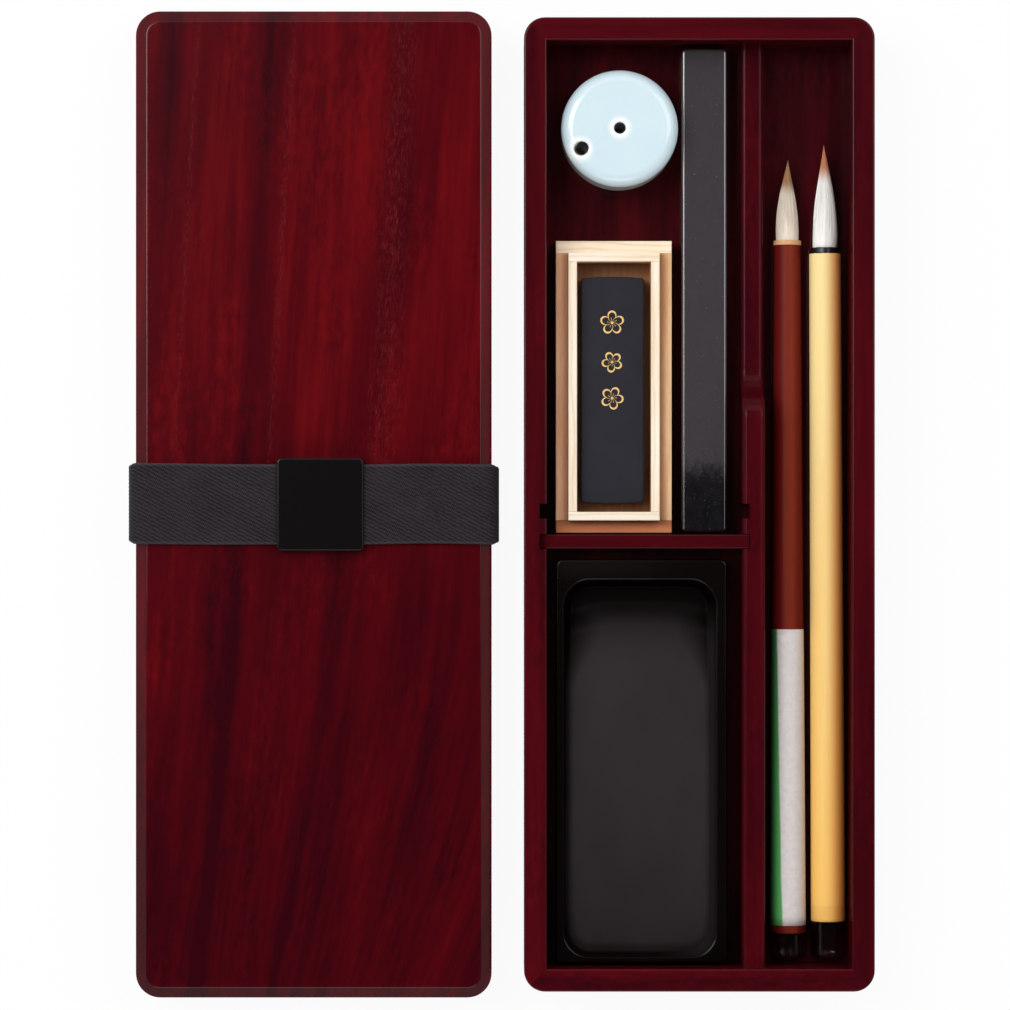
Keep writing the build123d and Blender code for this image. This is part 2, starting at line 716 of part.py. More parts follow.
def make_clasp():
    """The clasp: a cover that straddles the band and a base plate let in under it."""
    base_bottom = lid_top + clasp_lid_gap
    middle = (lid_x + clasp_shift, 0)
    slot_width = band_width + 2 * clasp_fit
    slot_height = clasp_base + band_thickness + 2 * clasp_fit
    with BuildPart() as cover:
        with BuildSketch(Plane.XY.offset(base_bottom)):
            with Locations(middle):
                RectangleRounded(clasp_length, slot_width + 2 * clasp_side, clasp_corner)
        extrude(amount=slot_height + clasp_roof)
        fillet(cover.faces().sort_by(Axis.Z)[-1].edges(), clasp_easing)
        with BuildSketch(Plane.XY.offset(base_bottom)):
            with Locations(middle):
                Rectangle(clasp_length + 2 * overcut, slot_width)
        extrude(amount=slot_height, mode=Mode.SUBTRACT)
    write(cover, "clasp_cover")
    with BuildPart() as base:
        with BuildSketch(Plane.XY.offset(base_bottom)):
            with Locations(middle):
                Rectangle(clasp_length - 2 * clasp_corner, slot_width)
        extrude(amount=clasp_base)
    write(base, "clasp_base")


def main():
    """Make every piece and write it to its own file in the parts folder."""
    os.makedirs("parts", exist_ok=True)
    make_tray_floor()
    for side in board_sides:
        make_tray_wall(side)
        make_lid_board(side)
    make_long_divider()
    make_cross_divider()
    make_inkstone()
    make_ink_box()
    make_ink_stick()
    make_paperweight()
    make_dropper()
    make_brown_brush()
    make_bamboo_brush()
    make_lid_panel()
    make_lid_lip()
    make_band()
    make_clasp()


if __name__ == "__main__":
    main()
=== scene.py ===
"""Dresses the calligraphy set box: finishes for its solids, surfaces for its soft and carved pieces."""
import json
import logging
import math
from dataclasses import dataclass
from enum import Enum

import bmesh
import bpy
import numpy as np
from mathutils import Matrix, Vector


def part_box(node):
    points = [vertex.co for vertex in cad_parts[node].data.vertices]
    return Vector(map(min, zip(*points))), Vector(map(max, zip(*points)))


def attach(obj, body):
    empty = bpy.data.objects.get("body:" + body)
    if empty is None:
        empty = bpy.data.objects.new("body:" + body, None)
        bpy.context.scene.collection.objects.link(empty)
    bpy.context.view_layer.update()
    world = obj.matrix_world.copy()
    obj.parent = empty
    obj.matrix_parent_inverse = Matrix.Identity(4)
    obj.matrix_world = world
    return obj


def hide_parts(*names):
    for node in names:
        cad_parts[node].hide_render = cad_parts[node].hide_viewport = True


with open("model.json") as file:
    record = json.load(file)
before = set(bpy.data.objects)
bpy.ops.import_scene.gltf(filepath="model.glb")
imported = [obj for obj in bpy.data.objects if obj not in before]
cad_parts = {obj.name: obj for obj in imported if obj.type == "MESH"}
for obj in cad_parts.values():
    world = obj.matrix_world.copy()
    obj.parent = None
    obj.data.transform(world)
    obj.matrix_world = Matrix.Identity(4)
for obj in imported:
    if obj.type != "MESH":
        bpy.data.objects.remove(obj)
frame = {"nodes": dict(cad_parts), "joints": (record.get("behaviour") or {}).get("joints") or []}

MM = 0.001
TURN = 2 * math.pi
MERGED = 1e-7  # points of a closed surface nearer than this, in metres, are one
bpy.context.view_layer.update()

log = logging.getLogger("calligraphy_set")


# ---------------------------------------------------------------- shader sums


def paint(red: int, green: int, blue: int) -> tuple[float, float, float, float]:
    """A colour as it looks on a screen, from 0 to 255, turned into linear light with an alpha of 1."""
    shares = np.array([red, green, blue]) / 255
    return (*np.where(shares <= 0.04045, shares / 12.92, ((shares + 0.055) / 1.055) ** 2.4).tolist(), 1.0)


class Value:
    """A number that a shader node puts out, which takes part in Python sums."""

    def __init__(self, graph: "Graph", socket: bpy.types.NodeSocket) -> None:
        """Wrap one output socket of a graph's nodes."""
        self.graph = graph
        self.socket = socket

    def sum(self, operation: str, *operands: "Value | float") -> "Value":
        """One Math node on the operands, in order."""
        return self.graph.node("ShaderNodeMath", {"operation": operation}, dict(enumerate(operands)))

    def __add__(self, other: "Value | float") -> "Value":
        """Self plus other."""
        return self.sum("ADD", self, other)

    def __radd__(self, other: "Value | float") -> "Value":
        """Other plus self."""
        return self.sum("ADD", other, self)

    def __sub__(self, other: "Value | float") -> "Value":
        """Self less other."""
        return self.sum("SUBTRACT", self, other)

    def __rsub__(self, other: "Value | float") -> "Value":
        """Other less self."""
        return self.sum("SUBTRACT", other, self)

    def __mul__(self, other: "Value | float") -> "Value":
        """Self times other."""
        return self.sum("MULTIPLY", self, other)

    def __rmul__(self, other: "Value | float") -> "Value":
        """Other times self."""
        return self.sum("MULTIPLY", other, self)

    def __truediv__(self, other: "Value | float") -> "Value":
        """Self divided by other."""
        return self.sum("DIVIDE", self, other)

    def __pow__(self, power: "Value | float") -> "Value":
        """Self to a power."""
        return self.sum("POWER", self, power)

    def least(self, other: "Value | float") -> "Value":
        """The lower of self and other."""
        return self.sum("MINIMUM", self, other)

    def most(self, other: "Value | float") -> "Value":
        """The higher of self and other."""
        return self.sum("MAXIMUM", self, other)

    def size(self) -> "Value":
        """Self without its sign."""
        return self.sum("ABSOLUTE", self)

    def sine(self) -> "Value":
        """The sine of self, in radians."""
        return self.sum("SINE", self)

    def step(self, low: float, high: float) -> "Value":
        """A smooth step, 0 below low and 1 above high; with low over high it falls instead.

        Args:
            low: where it starts.
            high: where it ends.

        Returns:
            The step.
        """
        ends = {"Value": self, "From Min": min(low, high), "From Max": max(low, high)}
        rise = self.graph.node("ShaderNodeMapRange", {"interpolation_type": "SMOOTHSTEP"}, ends)
        return rise if low < high else 1 - rise

    def hump(self, middle: float, reach: float) -> "Value":
        """A soft hump, 1 at middle and 0 beyond reach on both sides."""
        return (self - middle).size().step(reach, 0)


Place = tuple[Value, Value, Value]
Colour = Value | tuple[float, float, float, float]


class Graph:
    """The node tree of one material, or of the world, where every node is made by one method."""

    def __init__(self, name: str, world: bool = False) -> None:
        """Start an empty tree.

        Args:
            name: the material's name, or the world's.
            world: whether it is a world.
        """
        self.owner = (bpy.data.worlds if world else bpy.data.materials).new(name)
        self.owner.use_nodes = True
        self.tree = self.owner.node_tree
        self.tree.nodes.clear()

    def node(self, kind: str, settings: dict | None = None, inputs: dict | None = None,
             output: int = 0) -> Value | None:
        """Make a node, set it, then fill or link its sockets.

        Args:
            kind: the node's type.
            settings: its settings; stops are a ramp's places and colours, in order.
            inputs: values or links by the socket's name or number.
            output: the number of the output that is wanted.

        Returns:
            That output, or nothing where the node has none.
        """
        made = self.tree.nodes.new(kind)
        for name, setting in (settings or {}).items():
            if name == "stops":
                ramp = made.color_ramp.elements
                for place, _ in setting[1:-1]:
                    ramp.new(place)
                for element, (place, colour) in zip(ramp, setting):
                    element.position, element.color = place, colour
            else:
                setattr(made, name, setting)
        for name, given in (inputs or {}).items():
            if isinstance(given, Value):
                self.tree.links.new(given.socket, made.inputs[name])
            else:
                made.inputs[name].default_value = given
        return Value(self, made.outputs[output]) if made.outputs else None

    def parts(self, whole: Value) -> Place:
        """The x, y and z of a vector."""
        split = self.node("ShaderNodeSeparateXYZ", inputs={0: whole}).socket.node.outputs
        return tuple(Value(self, socket) for socket in split)

    def millimetres(self) -> Place:
        """The shaded point's object coordinates, in millimetres."""
        place = self.node("ShaderNodeTexCoord", output=3)
        return self.parts(self.dim(place, 1 / MM))

    def wrap(self) -> Place:
        """The shaded point's UV coordinates, as the piece's own map gives them."""
        return self.parts(self.node("ShaderNodeTexCoord", output=2))

    def noise(self, place: tuple[Value | float, ...], fineness: tuple[float, float, float] | float,
              detail: float = 2.0, rough: float = 0.5) -> Value:
        """Cloudy noise.

        Args:
            place: the three numbers that it is read at.
            fineness: clouds to each unit of them, one number for all or one for each.
            detail: number of finer layers.
            rough: how strong those layers are.

        Returns:
            The noise, around 0.5.
        """
        whole = self.node("ShaderNodeCombineXYZ", inputs=dict(enumerate(place)))
        each = fineness if isinstance(fineness, tuple) else (fineness,) * 3
        scaled = self.node("ShaderNodeVectorMath", {"operation": "MULTIPLY"}, {0: whole, 1: each})
        sockets = {"Vector": scaled, "Scale": 1.0, "Detail": detail, "Roughness": rough}
        return self.node("ShaderNodeTexNoise", inputs=sockets)

    def blend(self, share: Value | float, first: Colour, second: Colour) -> Value:
        """A colour between two colours, with a share of the second."""
        return self.node("ShaderNodeMix", {"data_type": "RGBA"}, {0: share, 6: first, 7: second}, 2)

    def dim(self, whole: Value, share: Value | float) -> Value:
        """A colour or a vector times a number."""
        return self.node("ShaderNodeVectorMath", {"operation": "SCALE"}, {0: whole, "Scale": share})

    def bump(self, height: Value, depth: float) -> Value:
        """The normal bent by a relief from 0 to 1, whose full height is given in millimetres."""
        sockets = {"Distance": depth * MM, "Height": height, "Strength": 1.0}
        return self.node("ShaderNodeBump", inputs=sockets)

    def gloss(self, colour: Value, rough: Value, normal: Value, specular: float = 0.5,
              coat: Value | float = 0.0, coat_rough: float = 0.03,
              others: dict | None = None) -> bpy.types.Material:
        """End the material in one Principled shader.

        Args:
            colour: its base colour.
            rough: its roughness.
            normal: its bent normal.
            specular: its specular level.
            coat: weight of its clear coat.
            coat_rough: roughness of that coat.
            others: values or links of other sockets, by name.

        Returns:
            The finished material.
        """
        sockets = {
            "Base Color": colour, "Roughness": rough, "Normal": normal, "Specular IOR Level": specular,
            "Coat Weight": coat, "Coat Roughness": coat_rough, **(others or {}),
        }
        return self.end(self.node("ShaderNodeBsdfPrincipled", inputs=sockets))

    def end(self, shader: Value) -> bpy.types.Material:
        """Send a shader to the output, which finishes the material."""
        self.node("ShaderNodeOutputMaterial", inputs={"Surface": shader})
        return self.owner


# ------------------------------------------------------------------- finishes


class Grain(Enum):
    """Which way a board's grain runs."""

    ACROSS = 0
    ALONG = 1

    def place(self, graph: Graph) -> Place:
        """Where the shaded point is across the grain, along it and through the board, in millimetres."""
        x, y, z = graph.millimetres()
        return (y, x, z) if self is Grain.ACROSS else (x, y, z)


@dataclass(frozen=True)
class Lacquer:
    """Deep red lacquer over wood: soft dark streaks, blotches, fine fibres and pale open pores.

    A streak is its place across the grain, its reach, where along the grain it starts and is full, and
    its darkness; a fleck is the same without darkness.
    """

    name: str = "red_lacquer"
    grain: Grain = Grain.ALONG
    deep: tuple = paint(38, 3, 10)
    middle: tuple = paint(62, 6, 14)
    bright: tuple = paint(81, 8, 17)
    pore: tuple = paint(128, 44, 50)
    coat: float = 0.45
    lean: float = 0.0
    bend: float = 0.0
    bend_from: float = 0.0
    fan: float = 0.0
    fan_from: float = 0.0
    streaks: tuple = ()
    flecks: tuple = ()

    def make(self) -> bpy.types.Material:
        """Streaks and clouds are noise drawn out along the grain, on lines that lean and then curve.

        Past bend_from the lines curve as the square of the way gone, the more the further from fan_from.

        Returns:
            The material.
        """
        graph = Graph(self.name)
        side, along, depth = self.grain.place(graph)
        past = (along - self.bend_from).least(0.0)
        spread = (side - self.fan_from).most(0.0) * self.fan + self.bend
        across = side - along * self.lean + past * past * spread
        place = (across, along, depth)
        clouds = graph.noise(place, (0.09, 0.012, 0.1), 3.0, 0.55)
        bands = graph.noise(place, (0.40, 0.014, 0.4), 3.0, 0.6)
        fibres = graph.noise(place, (3.4, 0.20, 3.4), 3.0, 0.7)
        mottle = graph.noise(place, (0.55, 0.20, 0.55), 3.0, 0.6)
        region = graph.noise(place, (0.05, 0.02, 0.05))
        blotch = (mottle - 0.5) * region.step(0.42, 0.60)
        shade = clouds * 0.46 + bands * 0.26 + fibres * 0.09 + 0.095 + blotch * 0.30
        for middle, reach, low, high, dark in self.streaks:
            patchy = graph.noise((across, along, middle), (0.35, 0.11, 1.0), 2.0, 0.6)
            shade = shade - across.hump(middle, reach) * along.step(low, high) * (patchy + 0.5) * dark
        stops = [(0.26, self.deep), (0.46, self.middle), (0.62, self.bright)]
        tone = graph.node("ShaderNodeValToRGB", {"stops": stops}, {0: shade})
        open_pores = graph.noise(place, (4.8, 0.50, 4.8), 2.0, 0.6)
        pores = open_pores.step(0.66, 0.80) * region.step(0.44, 0.62)
        for middle, reach, low, high in self.flecks:
            pores = pores + open_pores.step(0.52, 0.68) * across.hump(middle, reach) * along.step(low, high)
        relief = fibres * 0.6 + bands * 0.4 - pores * 0.5
        return graph.gloss(
            graph.blend(pores * 0.30, tone, self.pore), fibres * 0.10 + 0.20, graph.bump(relief, 0.02),
            specular=0.03, coat=self.coat, coat_rough=0.07,
        )


@dataclass(frozen=True)
class Paulownia:
    """Bare pale wood with straight grain lines, a painted shadow of the lip across its grain, and painted
    browner shade low down inside the box.
    """

    name: str
    grain: Grain
    pale: tuple
    warm: tuple
    line: tuple = paint(196, 142, 98)
    # colour of the painted shade low inside the box, and the height and run of its step
    brown: tuple = paint(222, 142, 84)
    shade_top: float = 0.0
    shade_run: float = 3.5
    # colour of the painted shadow that the lip casts, and where that shadow runs across the grain
    lip_shadow: tuple = paint(150, 88, 54)
    lip_shadow_run: tuple = ()
    pitch: float = 2.108

    def make(self) -> bpy.types.Material:
        """Growth lines are a sine across the grain, bent by noise and sharpened on one side.

        Returns:
            The material.
        """
        graph = Graph(self.name)
        across, _, depth = place = self.grain.place(graph)
        z = graph.millimetres()[2]
        sway = graph.noise(place, (0.08, 0.02, 0.08)) * 5.0
        wave = ((across + depth * 0.6 + sway) * (TURN / self.pitch)).sine() * 0.5 + 0.5
        fibres = graph.noise(place, (4.0, 0.22, 4.0), 3.0, 0.65)
        patches = graph.noise(place, (0.14, 0.03, 0.14))
        body = graph.blend((patches * 0.9 + fibres * 0.5 - 0.2).step(0.2, 0.9), self.pale, self.warm)
        lined = graph.blend((wave ** 3.0) * (fibres * 0.8 + 0.1) * 0.45, body, self.line)
        # painted shadow of the lip, stepped across the grain
        if self.lip_shadow_run:
            lined = graph.blend(across.step(*self.lip_shadow_run) * (fibres * 0.4 + 0.5), lined, self.lip_shadow)
        # browner lower down: painted shade on the lip's inner faces and inside the box
        painted_low_shade = z.step(self.shade_top, self.shade_top - self.shade_run) * (fibres * 0.4 + 0.55)
        relief = graph.bump(fibres * 0.7 + wave * 0.3, 0.05)
        return graph.gloss(graph.blend(painted_low_shade, lined, self.brown), fibres * 0.2 + 0.55, relief, specular=0.25)


@dataclass(frozen=True)
class Slate:
    """Fine dark stone: honed where ink is ground, waxed black elsewhere. The honed face fades to black near
    the well's walls as painted shade and darkens towards the sea, partly as painted shade; the paler right
    wall and back rim are painted highlights.

    U is a half plus a hundredth for each millimetre from the well's outline, and less outside the well.
    A fade or a gleam runs between two distances from one side of the stone.
    """

    name: str
    low: np.ndarray
    high: np.ndarray
    shore: float = 33.0
    sea_edge: float = 12.5
    waxed_wall: float = 0.4
    fade: float = 3.2
    right_fade: tuple = (-24.0, -4.0)
    back_fade: tuple = (-42.0, -17.0)
    front_fade: tuple = (18.0, 3.0)
    pale_place: float = 12.0
    pale_fade: tuple = (70.0, 5.0)
    gleam_depth: tuple = (-8.0, -2.0)
    gleam_ends: tuple = (6.0, 14.0)

    def make(self) -> bpy.types.Material:
        """The honed face fades slowly towards the sea, partly as painted shade, fades near the walls as
        painted shade, and reaches up the wall on the right as a painted highlight.

        Returns:
            The material.
        """
        graph = Graph(self.name)
        x, y, _ = place = graph.millimetres()
        u = graph.wrap()[0]
        specks = graph.noise(place, 3.0, 4.0, 0.7)
        clouds = graph.noise(place, (0.05, 0.03, 0.05), 3.0)
        honing = graph.noise(place, (2.2, 0.10, 1.0), 2.0, 0.6)
        (left, front, _), (right, back, _) = self.low, self.high
        right_side = x.step(*np.add(right, self.right_fade))
        back_side = y.step(*np.add(back, self.back_fade))
        front_side = y.step(*np.add(front, self.front_fade))
        inset = (u - 0.5) * 100.0
        # the honed face fades into black towards the walls, most at the back: painted shade
        start = back_side * 2.0 + front_side * 0.8 + self.waxed_wall - clouds * 0.8 + 0.4
        near = (inset - start) / (back_side * 8.0 + front_side + self.fade)
        # the honed colour reaching up the right wall is a painted highlight
        honed = near.least(1.0).most(inset.hump(1.4, 2.2) * right_side * 0.55)
        gone = ((y - back + self.shore) / (self.shore - self.sea_edge)).most(0.0)
        middle = (y - (front + back) / 2 - self.pale_place).size().step(*self.pale_fade)
        share = clouds * 0.6 + specks * 0.25 + middle * 0.35 - 0.12
        ground = graph.blend(share, paint(33, 28, 30), paint(51, 46, 48))
        # darker to black towards the sea: partly painted shade in the deep sea
        ground = graph.blend(gone * gone, ground, paint(3, 1, 0))
        # the paler back rim is a painted highlight
        gleam = x.step(right - self.gleam_ends[0], left + self.gleam_ends[1])
        painted_back_gleam = y.step(*np.add(back, self.gleam_depth)) * gleam * 0.45
        waxed = graph.blend(specks.step(0.50, 0.80) * 0.25 + painted_back_gleam, paint(4, 1, 0), paint(24, 19, 19))
        return graph.gloss(
            graph.blend(honed, waxed, ground), 0.34 + honed * 0.30 + specks * 0.10,
            graph.bump(specks * 0.7 + honing * 0.3, 0.025), specular=0.04,
            coat=inset.step(0.3, -0.6) * (clouds * 0.8 - 0.1), coat_rough=0.14,
        )


@dataclass(frozen=True)
class Ink:
    """Pressed soot ink, matt, with plum blossoms drawn on its face in gold leaf.

    A blossom is its middle along the stick, its petals' reach and its turn in radians.
    """

    name: str = "soot_ink"
    face: float = 15.6
    leaf: float = 0.2
    middle: float = -26.6
    blossoms: tuple = ((56.4, 3.5, 0.3), (44.2, 3.0, 1.1), (33.0, 3.3, 2.0))
    petals: float = 5.0
    stroke: float = 0.24

    def blossom(self, x: Value, y: Value, place: float, radius: float, turn: float) -> Value:
        """One flower drawn in line: petals are a radius that swings with the angle, stamens fine rays.

        Args:
            x: place across the stick.
            y: place along it.
            place: the flower's middle along the stick.
            radius: the petals' reach.
            turn: its turn in radians.

        Returns:
            Gold, from 0 to 1.
        """
        side, up = x - self.middle, y - place
        out = (side ** 2.0 + up ** 2.0) ** 0.5
        angle = up.sum("ARCTAN2", up, side) + turn
        swing = (angle * (self.petals / 2)).sine().size()
        edge = (swing ** 0.6) * (radius * 0.55)
        outline = (out - edge - radius * 0.45).size().step(self.stroke * 1.5, self.stroke)
        rays = (angle * self.petals * 2).sine().step(0.80, 0.97) * out.step(radius * 0.5, radius * 0.42)
        heart = out.step(radius * 0.16, radius * 0.10)
        return (outline + rays * out.step(radius * 0.12, radius * 0.2) + heart).step(0.2, 0.8)

    def make(self) -> bpy.types.Material:
        """Slow clouds with fine grit; the leaf is worn by the grit and lies on the top face alone.

        Returns:
            The material.
        """
        graph = Graph(self.name)
        x, y, z = place = graph.millimetres()
        clouds = graph.noise(place, (0.12, 0.08, 0.12), 3.0)
        grit = graph.noise(place, 5.0, 3.0, 0.7)
        gold = sum(self.blossom(x, y, *blossom) for blossom in self.blossoms)
        gold = gold * z.step(self.face - self.leaf, self.face) * grit.step(0.30, 0.42)
        soot = graph.blend(clouds * 0.7 + grit * 0.3, paint(31, 31, 37), paint(47, 47, 54))
        relief = graph.bump(grit * 0.5 + clouds * 0.3 + gold * 0.2, 0.03)
        colour = graph.blend(gold, soot, paint(236, 196, 126))
        shine = {"Metallic": gold * 0.35}
        return graph.gloss(colour, grit * 0.15 + 0.48, relief, specular=0.1, others=shine)


@dataclass(frozen=True)
class Steel:
    """Black baked enamel on a long steel bar, glossy and rippled, with a painted dark reflection over its
    front end.
    """

    name: str
    front: float
    reflection_run: tuple = (24.0, 15.0)

    def make(self) -> bpy.types.Material:
        """A long soft ripple under the gloss, tiny pale specks, and a cloudy dark end that is a painted
        reflection.

        Returns:
            The material.
        """
        graph = Graph(self.name)
        place = graph.millimetres()
        ripple = graph.noise(place, (0.10, 0.05, 0.10))
        peel = graph.noise(place, 1.1)
        dust = graph.noise(place, 2.6, 1.0).step(0.74, 0.80)
        smoke = graph.noise(place, (0.35, 0.20, 0.35), 4.0, 0.7)
        enamel = graph.blend(smoke, paint(68, 63, 67), paint(76, 72, 75))
        # the cloudy dark front end is a painted reflection
        painted_dark_reflection = (place[1] + smoke * 18.0 - 9.0).step(*np.add(self.front, self.reflection_run))
        enamel = graph.blend(painted_dark_reflection * (smoke * 0.45 + 0.66), enamel, paint(5, 4, 7))
        chips = graph.noise(place, 1.7).step(0.71, 0.77) * painted_dark_reflection
        return graph.gloss(
            graph.blend((dust + chips) * 0.45, enamel, paint(160, 156, 160)), 0.10 + dust * 0.3,
            graph.bump(ripple * 0.8 + peel * 0.2, 0.03), specular=1.0, coat=1.0, coat_rough=0.06,
            others={"Metallic": 0.25},
        )


@dataclass(frozen=True)
class Celadon:
    """Pale blue-white glaze that thins to white over the edges, with painted shade inside its two mouths.

    A ring runs between two distances from a mouth's edge, the shoulder and the depth between two heights
    from the top.
    """

    name: str
    middle: Vector
    spout: Vector
    top: float
    hole: float = 1.8
    spout_hole: float = 2.2
    shoulder: tuple = (-2.5, -6.0)
    white_ring: tuple = (2.6, 0.3)
    dark_ring: tuple = (-0.1, -0.7)
    dark_depth: tuple = (-0.5, -1.6)

    def make(self) -> bpy.types.Material:
        """Rings about the two mouths and the shoulder are whitened by their distance from it.

        Returns:
            The material.
        """
        graph = Graph(self.name)
        x, y, z = place = graph.millimetres()
        mottle = graph.noise(place, 0.10)
        bubbles = graph.noise(place, 3.0)
        white = z.step(*np.add(self.top, self.shoulder)) * 0.9
        sunk = z.step(*np.add(self.top, self.dark_depth))
        # the walls of the two mouths below their rims are darkened: painted shade
        inside = 0.0
        for centre, reach in ((self.middle, self.hole), (self.spout, self.spout_hole)):
            out = ((x - centre.x) ** 2.0 + (y - centre.y) ** 2.0) ** 0.5
            white = white + out.step(*np.add(reach, self.white_ring)) * 0.9
            inside = out.step(*np.add(reach, self.dark_ring)) * sunk + inside
        glaze = graph.blend(mottle, paint(205, 225, 233), paint(213, 232, 239))
        colour = graph.blend(white, glaze, paint(250, 252, 251))
        return graph.gloss(
            graph.blend(inside, colour, paint(84, 80, 66)), bubbles * 0.05 + 0.12, graph.bump(mottle, 0.03),
            specular=0.4, coat=0.5, coat_rough=0.05,
        )


@dataclass(frozen=True)
class Handle:
    """A polished brush handle with long fibres and its head of another tone. Its sides carry painted light
    and shade:
    on the brown handle painted shade on the left and down both sides about a painted highlight crest, on
    the bamboo a painted warm reflection down its right.

    Its axis is its x and y at its tail and at its head.
    """

    name: str
    tail: tuple
    head: tuple
    fibre: tuple
    # side: colour of the painted light and shade along the sides
    side: tuple
    axis: tuple
    fibre_share: float
    painted_side_share: float
    coat: float
    painted_crest_and_sides: bool = False
    rough: float = 0.34
    left_shade_run: tuple = (0.2, -3.4)
    crest: float = 0.7
    sides_run: tuple = (0.9, 3.4)
    right_run: tuple = (-0.8, 4.0)

    def make(self) -> bpy.types.Material:
        """Fibres are noise drawn out along the brush; the painted light and shade on its sides is a step of
        the place across it.

        Returns:
            The material.
        """
        graph = Graph(self.name)
        x, y, _ = place = graph.millimetres()
        slow = graph.noise(place, (0.35, 0.012, 0.35), 3.0)
        fibres = graph.noise(place, (4.2, 0.07, 4.2), 3.0, 0.6)
        flecks = graph.noise(place, (5.0, 0.5, 5.0), 1.0).step(0.66, 0.78)
        (tail_x, tail_y), (head_x, head_y) = self.axis
        share = (y - tail_y) * (1 / (head_y - tail_y))
        body = graph.blend((share + slow * 0.6 - 0.3).step(0.05, 0.95), self.tail, self.head)
        out = x - share * (head_x - tail_x) - tail_x
        # brown handle: painted shade on the left, and darker sides about a painted highlight crest; bamboo:
        # a painted warm reflection down its right side
        if self.painted_crest_and_sides:
            body = graph.dim(body, 1 - out.step(*self.left_shade_run) * 0.45)
            edge = (out - self.crest).size().step(*self.sides_run)
        else:
            edge = (out + slow - 0.5).step(*self.right_run)
        sided = graph.blend(edge * self.painted_side_share, body, self.side)
        streak = graph.blend(fibres.step(0.52, 0.75) * self.fibre_share, sided, self.fibre)
        colour = graph.blend(flecks * self.fibre_share * 0.5, streak, self.fibre)
        return graph.gloss(
            colour, fibres * 0.12 + self.rough, graph.bump(fibres, 0.02),
            specular=0.05, coat=self.coat, coat_rough=0.24,
        )


@dataclass(frozen=True)
class Hair:
    """Combed goat hair: cream strands with a tan tip. U runs round the tuft and V from root to tip."""

    name: str
    cream: tuple
    shade: tuple
    tip: tuple
    tip_start: float

    def make(self) -> bpy.types.Material:
        """Strands are noise drawn out along the tuft, and the tip's tint starts raggedly.

        Returns:
            The material.
        """
        graph = Graph(self.name)
        u, v, _ = graph.wrap()
        strands = graph.noise((u, v, 0.0), (70.0, 1.6, 1.0), 3.0, 0.7)
        clumps = graph.noise((u, v, 4.0), (14.0, 1.2, 1.0))
        body = graph.blend((strands * 0.7 + clumps * 0.4).step(0.25, 0.62), self.shade, self.cream)
        tinted = (v + strands * 0.16 - 0.08).step(self.tip_start, self.tip_start + 0.2)
        colour = graph.blend(tinted * 0.92, body, self.tip)
        return graph.gloss(colour, strands * 0.2 + 0.42, graph.bump(strands, 0.03), specular=0.25)


@dataclass(frozen=True)
class Ring:
    """A small turned ring with fine turning lines along y."""

    name: str
    dark: tuple
    light: tuple
    rough: float

    def make(self) -> bpy.types.Material:
        """Turning lines are noise drawn out round the ring, read along the brush alone.

        Returns:
            The material.
        """
        graph = Graph(self.name)
        place = graph.millimetres()
        lines = graph.noise(place, (0.3, 6.0, 0.3))
        colour = graph.blend(lines * 0.5 + graph.noise(place, 1.0) * 0.5, self.dark, self.light)
        return graph.gloss(colour, lines * 0.12 + self.rough, graph.bump(lines, 0.02))


@dataclass(frozen=True)
class Paper:
    """Label paper: a green strip down one side that fades into pale paper. U runs round the handle."""

    name: str = "label_paper"
    green_start: float = 0.555
    green_edge: tuple = (-0.008, 0.012)
    green_lean: float = 0.065
    green_end: float = 0.93
    length: float = 91.9

    def make(self) -> bpy.types.Material:
        """The strip lies between two steps round the wrap, its near edge leaning and a little ragged.

        Returns:
            The material.
        """
        graph = Graph(self.name)
        u, v, _ = graph.wrap()
        sheet = (u, v, 0.0)
        fibres = graph.noise(sheet, (60.0, 150.0, 1.0), 3.0, 0.7)
        fine = graph.noise(sheet, (16.0, self.length * 0.5, 1.0), 4.0, 0.75)
        slow = graph.noise(sheet, (3.0, 5.0, 1.0))
        paper = graph.blend(fine.step(0.3, 0.75), paint(209, 202, 200), paint(222, 215, 212))
        # darker and warmer round the handle's right side and underside: painted shade
        warm = graph.blend(u.step(0.42, 0.24) * 0.5, paper, paint(178, 158, 138))
        # the green darkens towards the handle's left edge: painted shade
        green = graph.blend(u.step(0.60, 0.72), paint(84, 168, 92), paint(40, 104, 52))
        green = graph.blend(v.step(0.35, 1.0) * 0.45, green, paint(60, 120, 84))
        edge = u - v * self.green_lean + (slow - 0.5) * 0.02
        started = edge.step(*np.add(self.green_start, self.green_edge))
        strip = started * u.step(self.green_end + 0.01, self.green_end)
        relief = graph.bump(fine * 0.7 + fibres * 0.3, 0.03)
        return graph.gloss(
            graph.blend(strip, warm, green), fibres * 0.15 + 0.42, relief,
            specular=0.3, coat=0.2, coat_rough=0.3,
        )


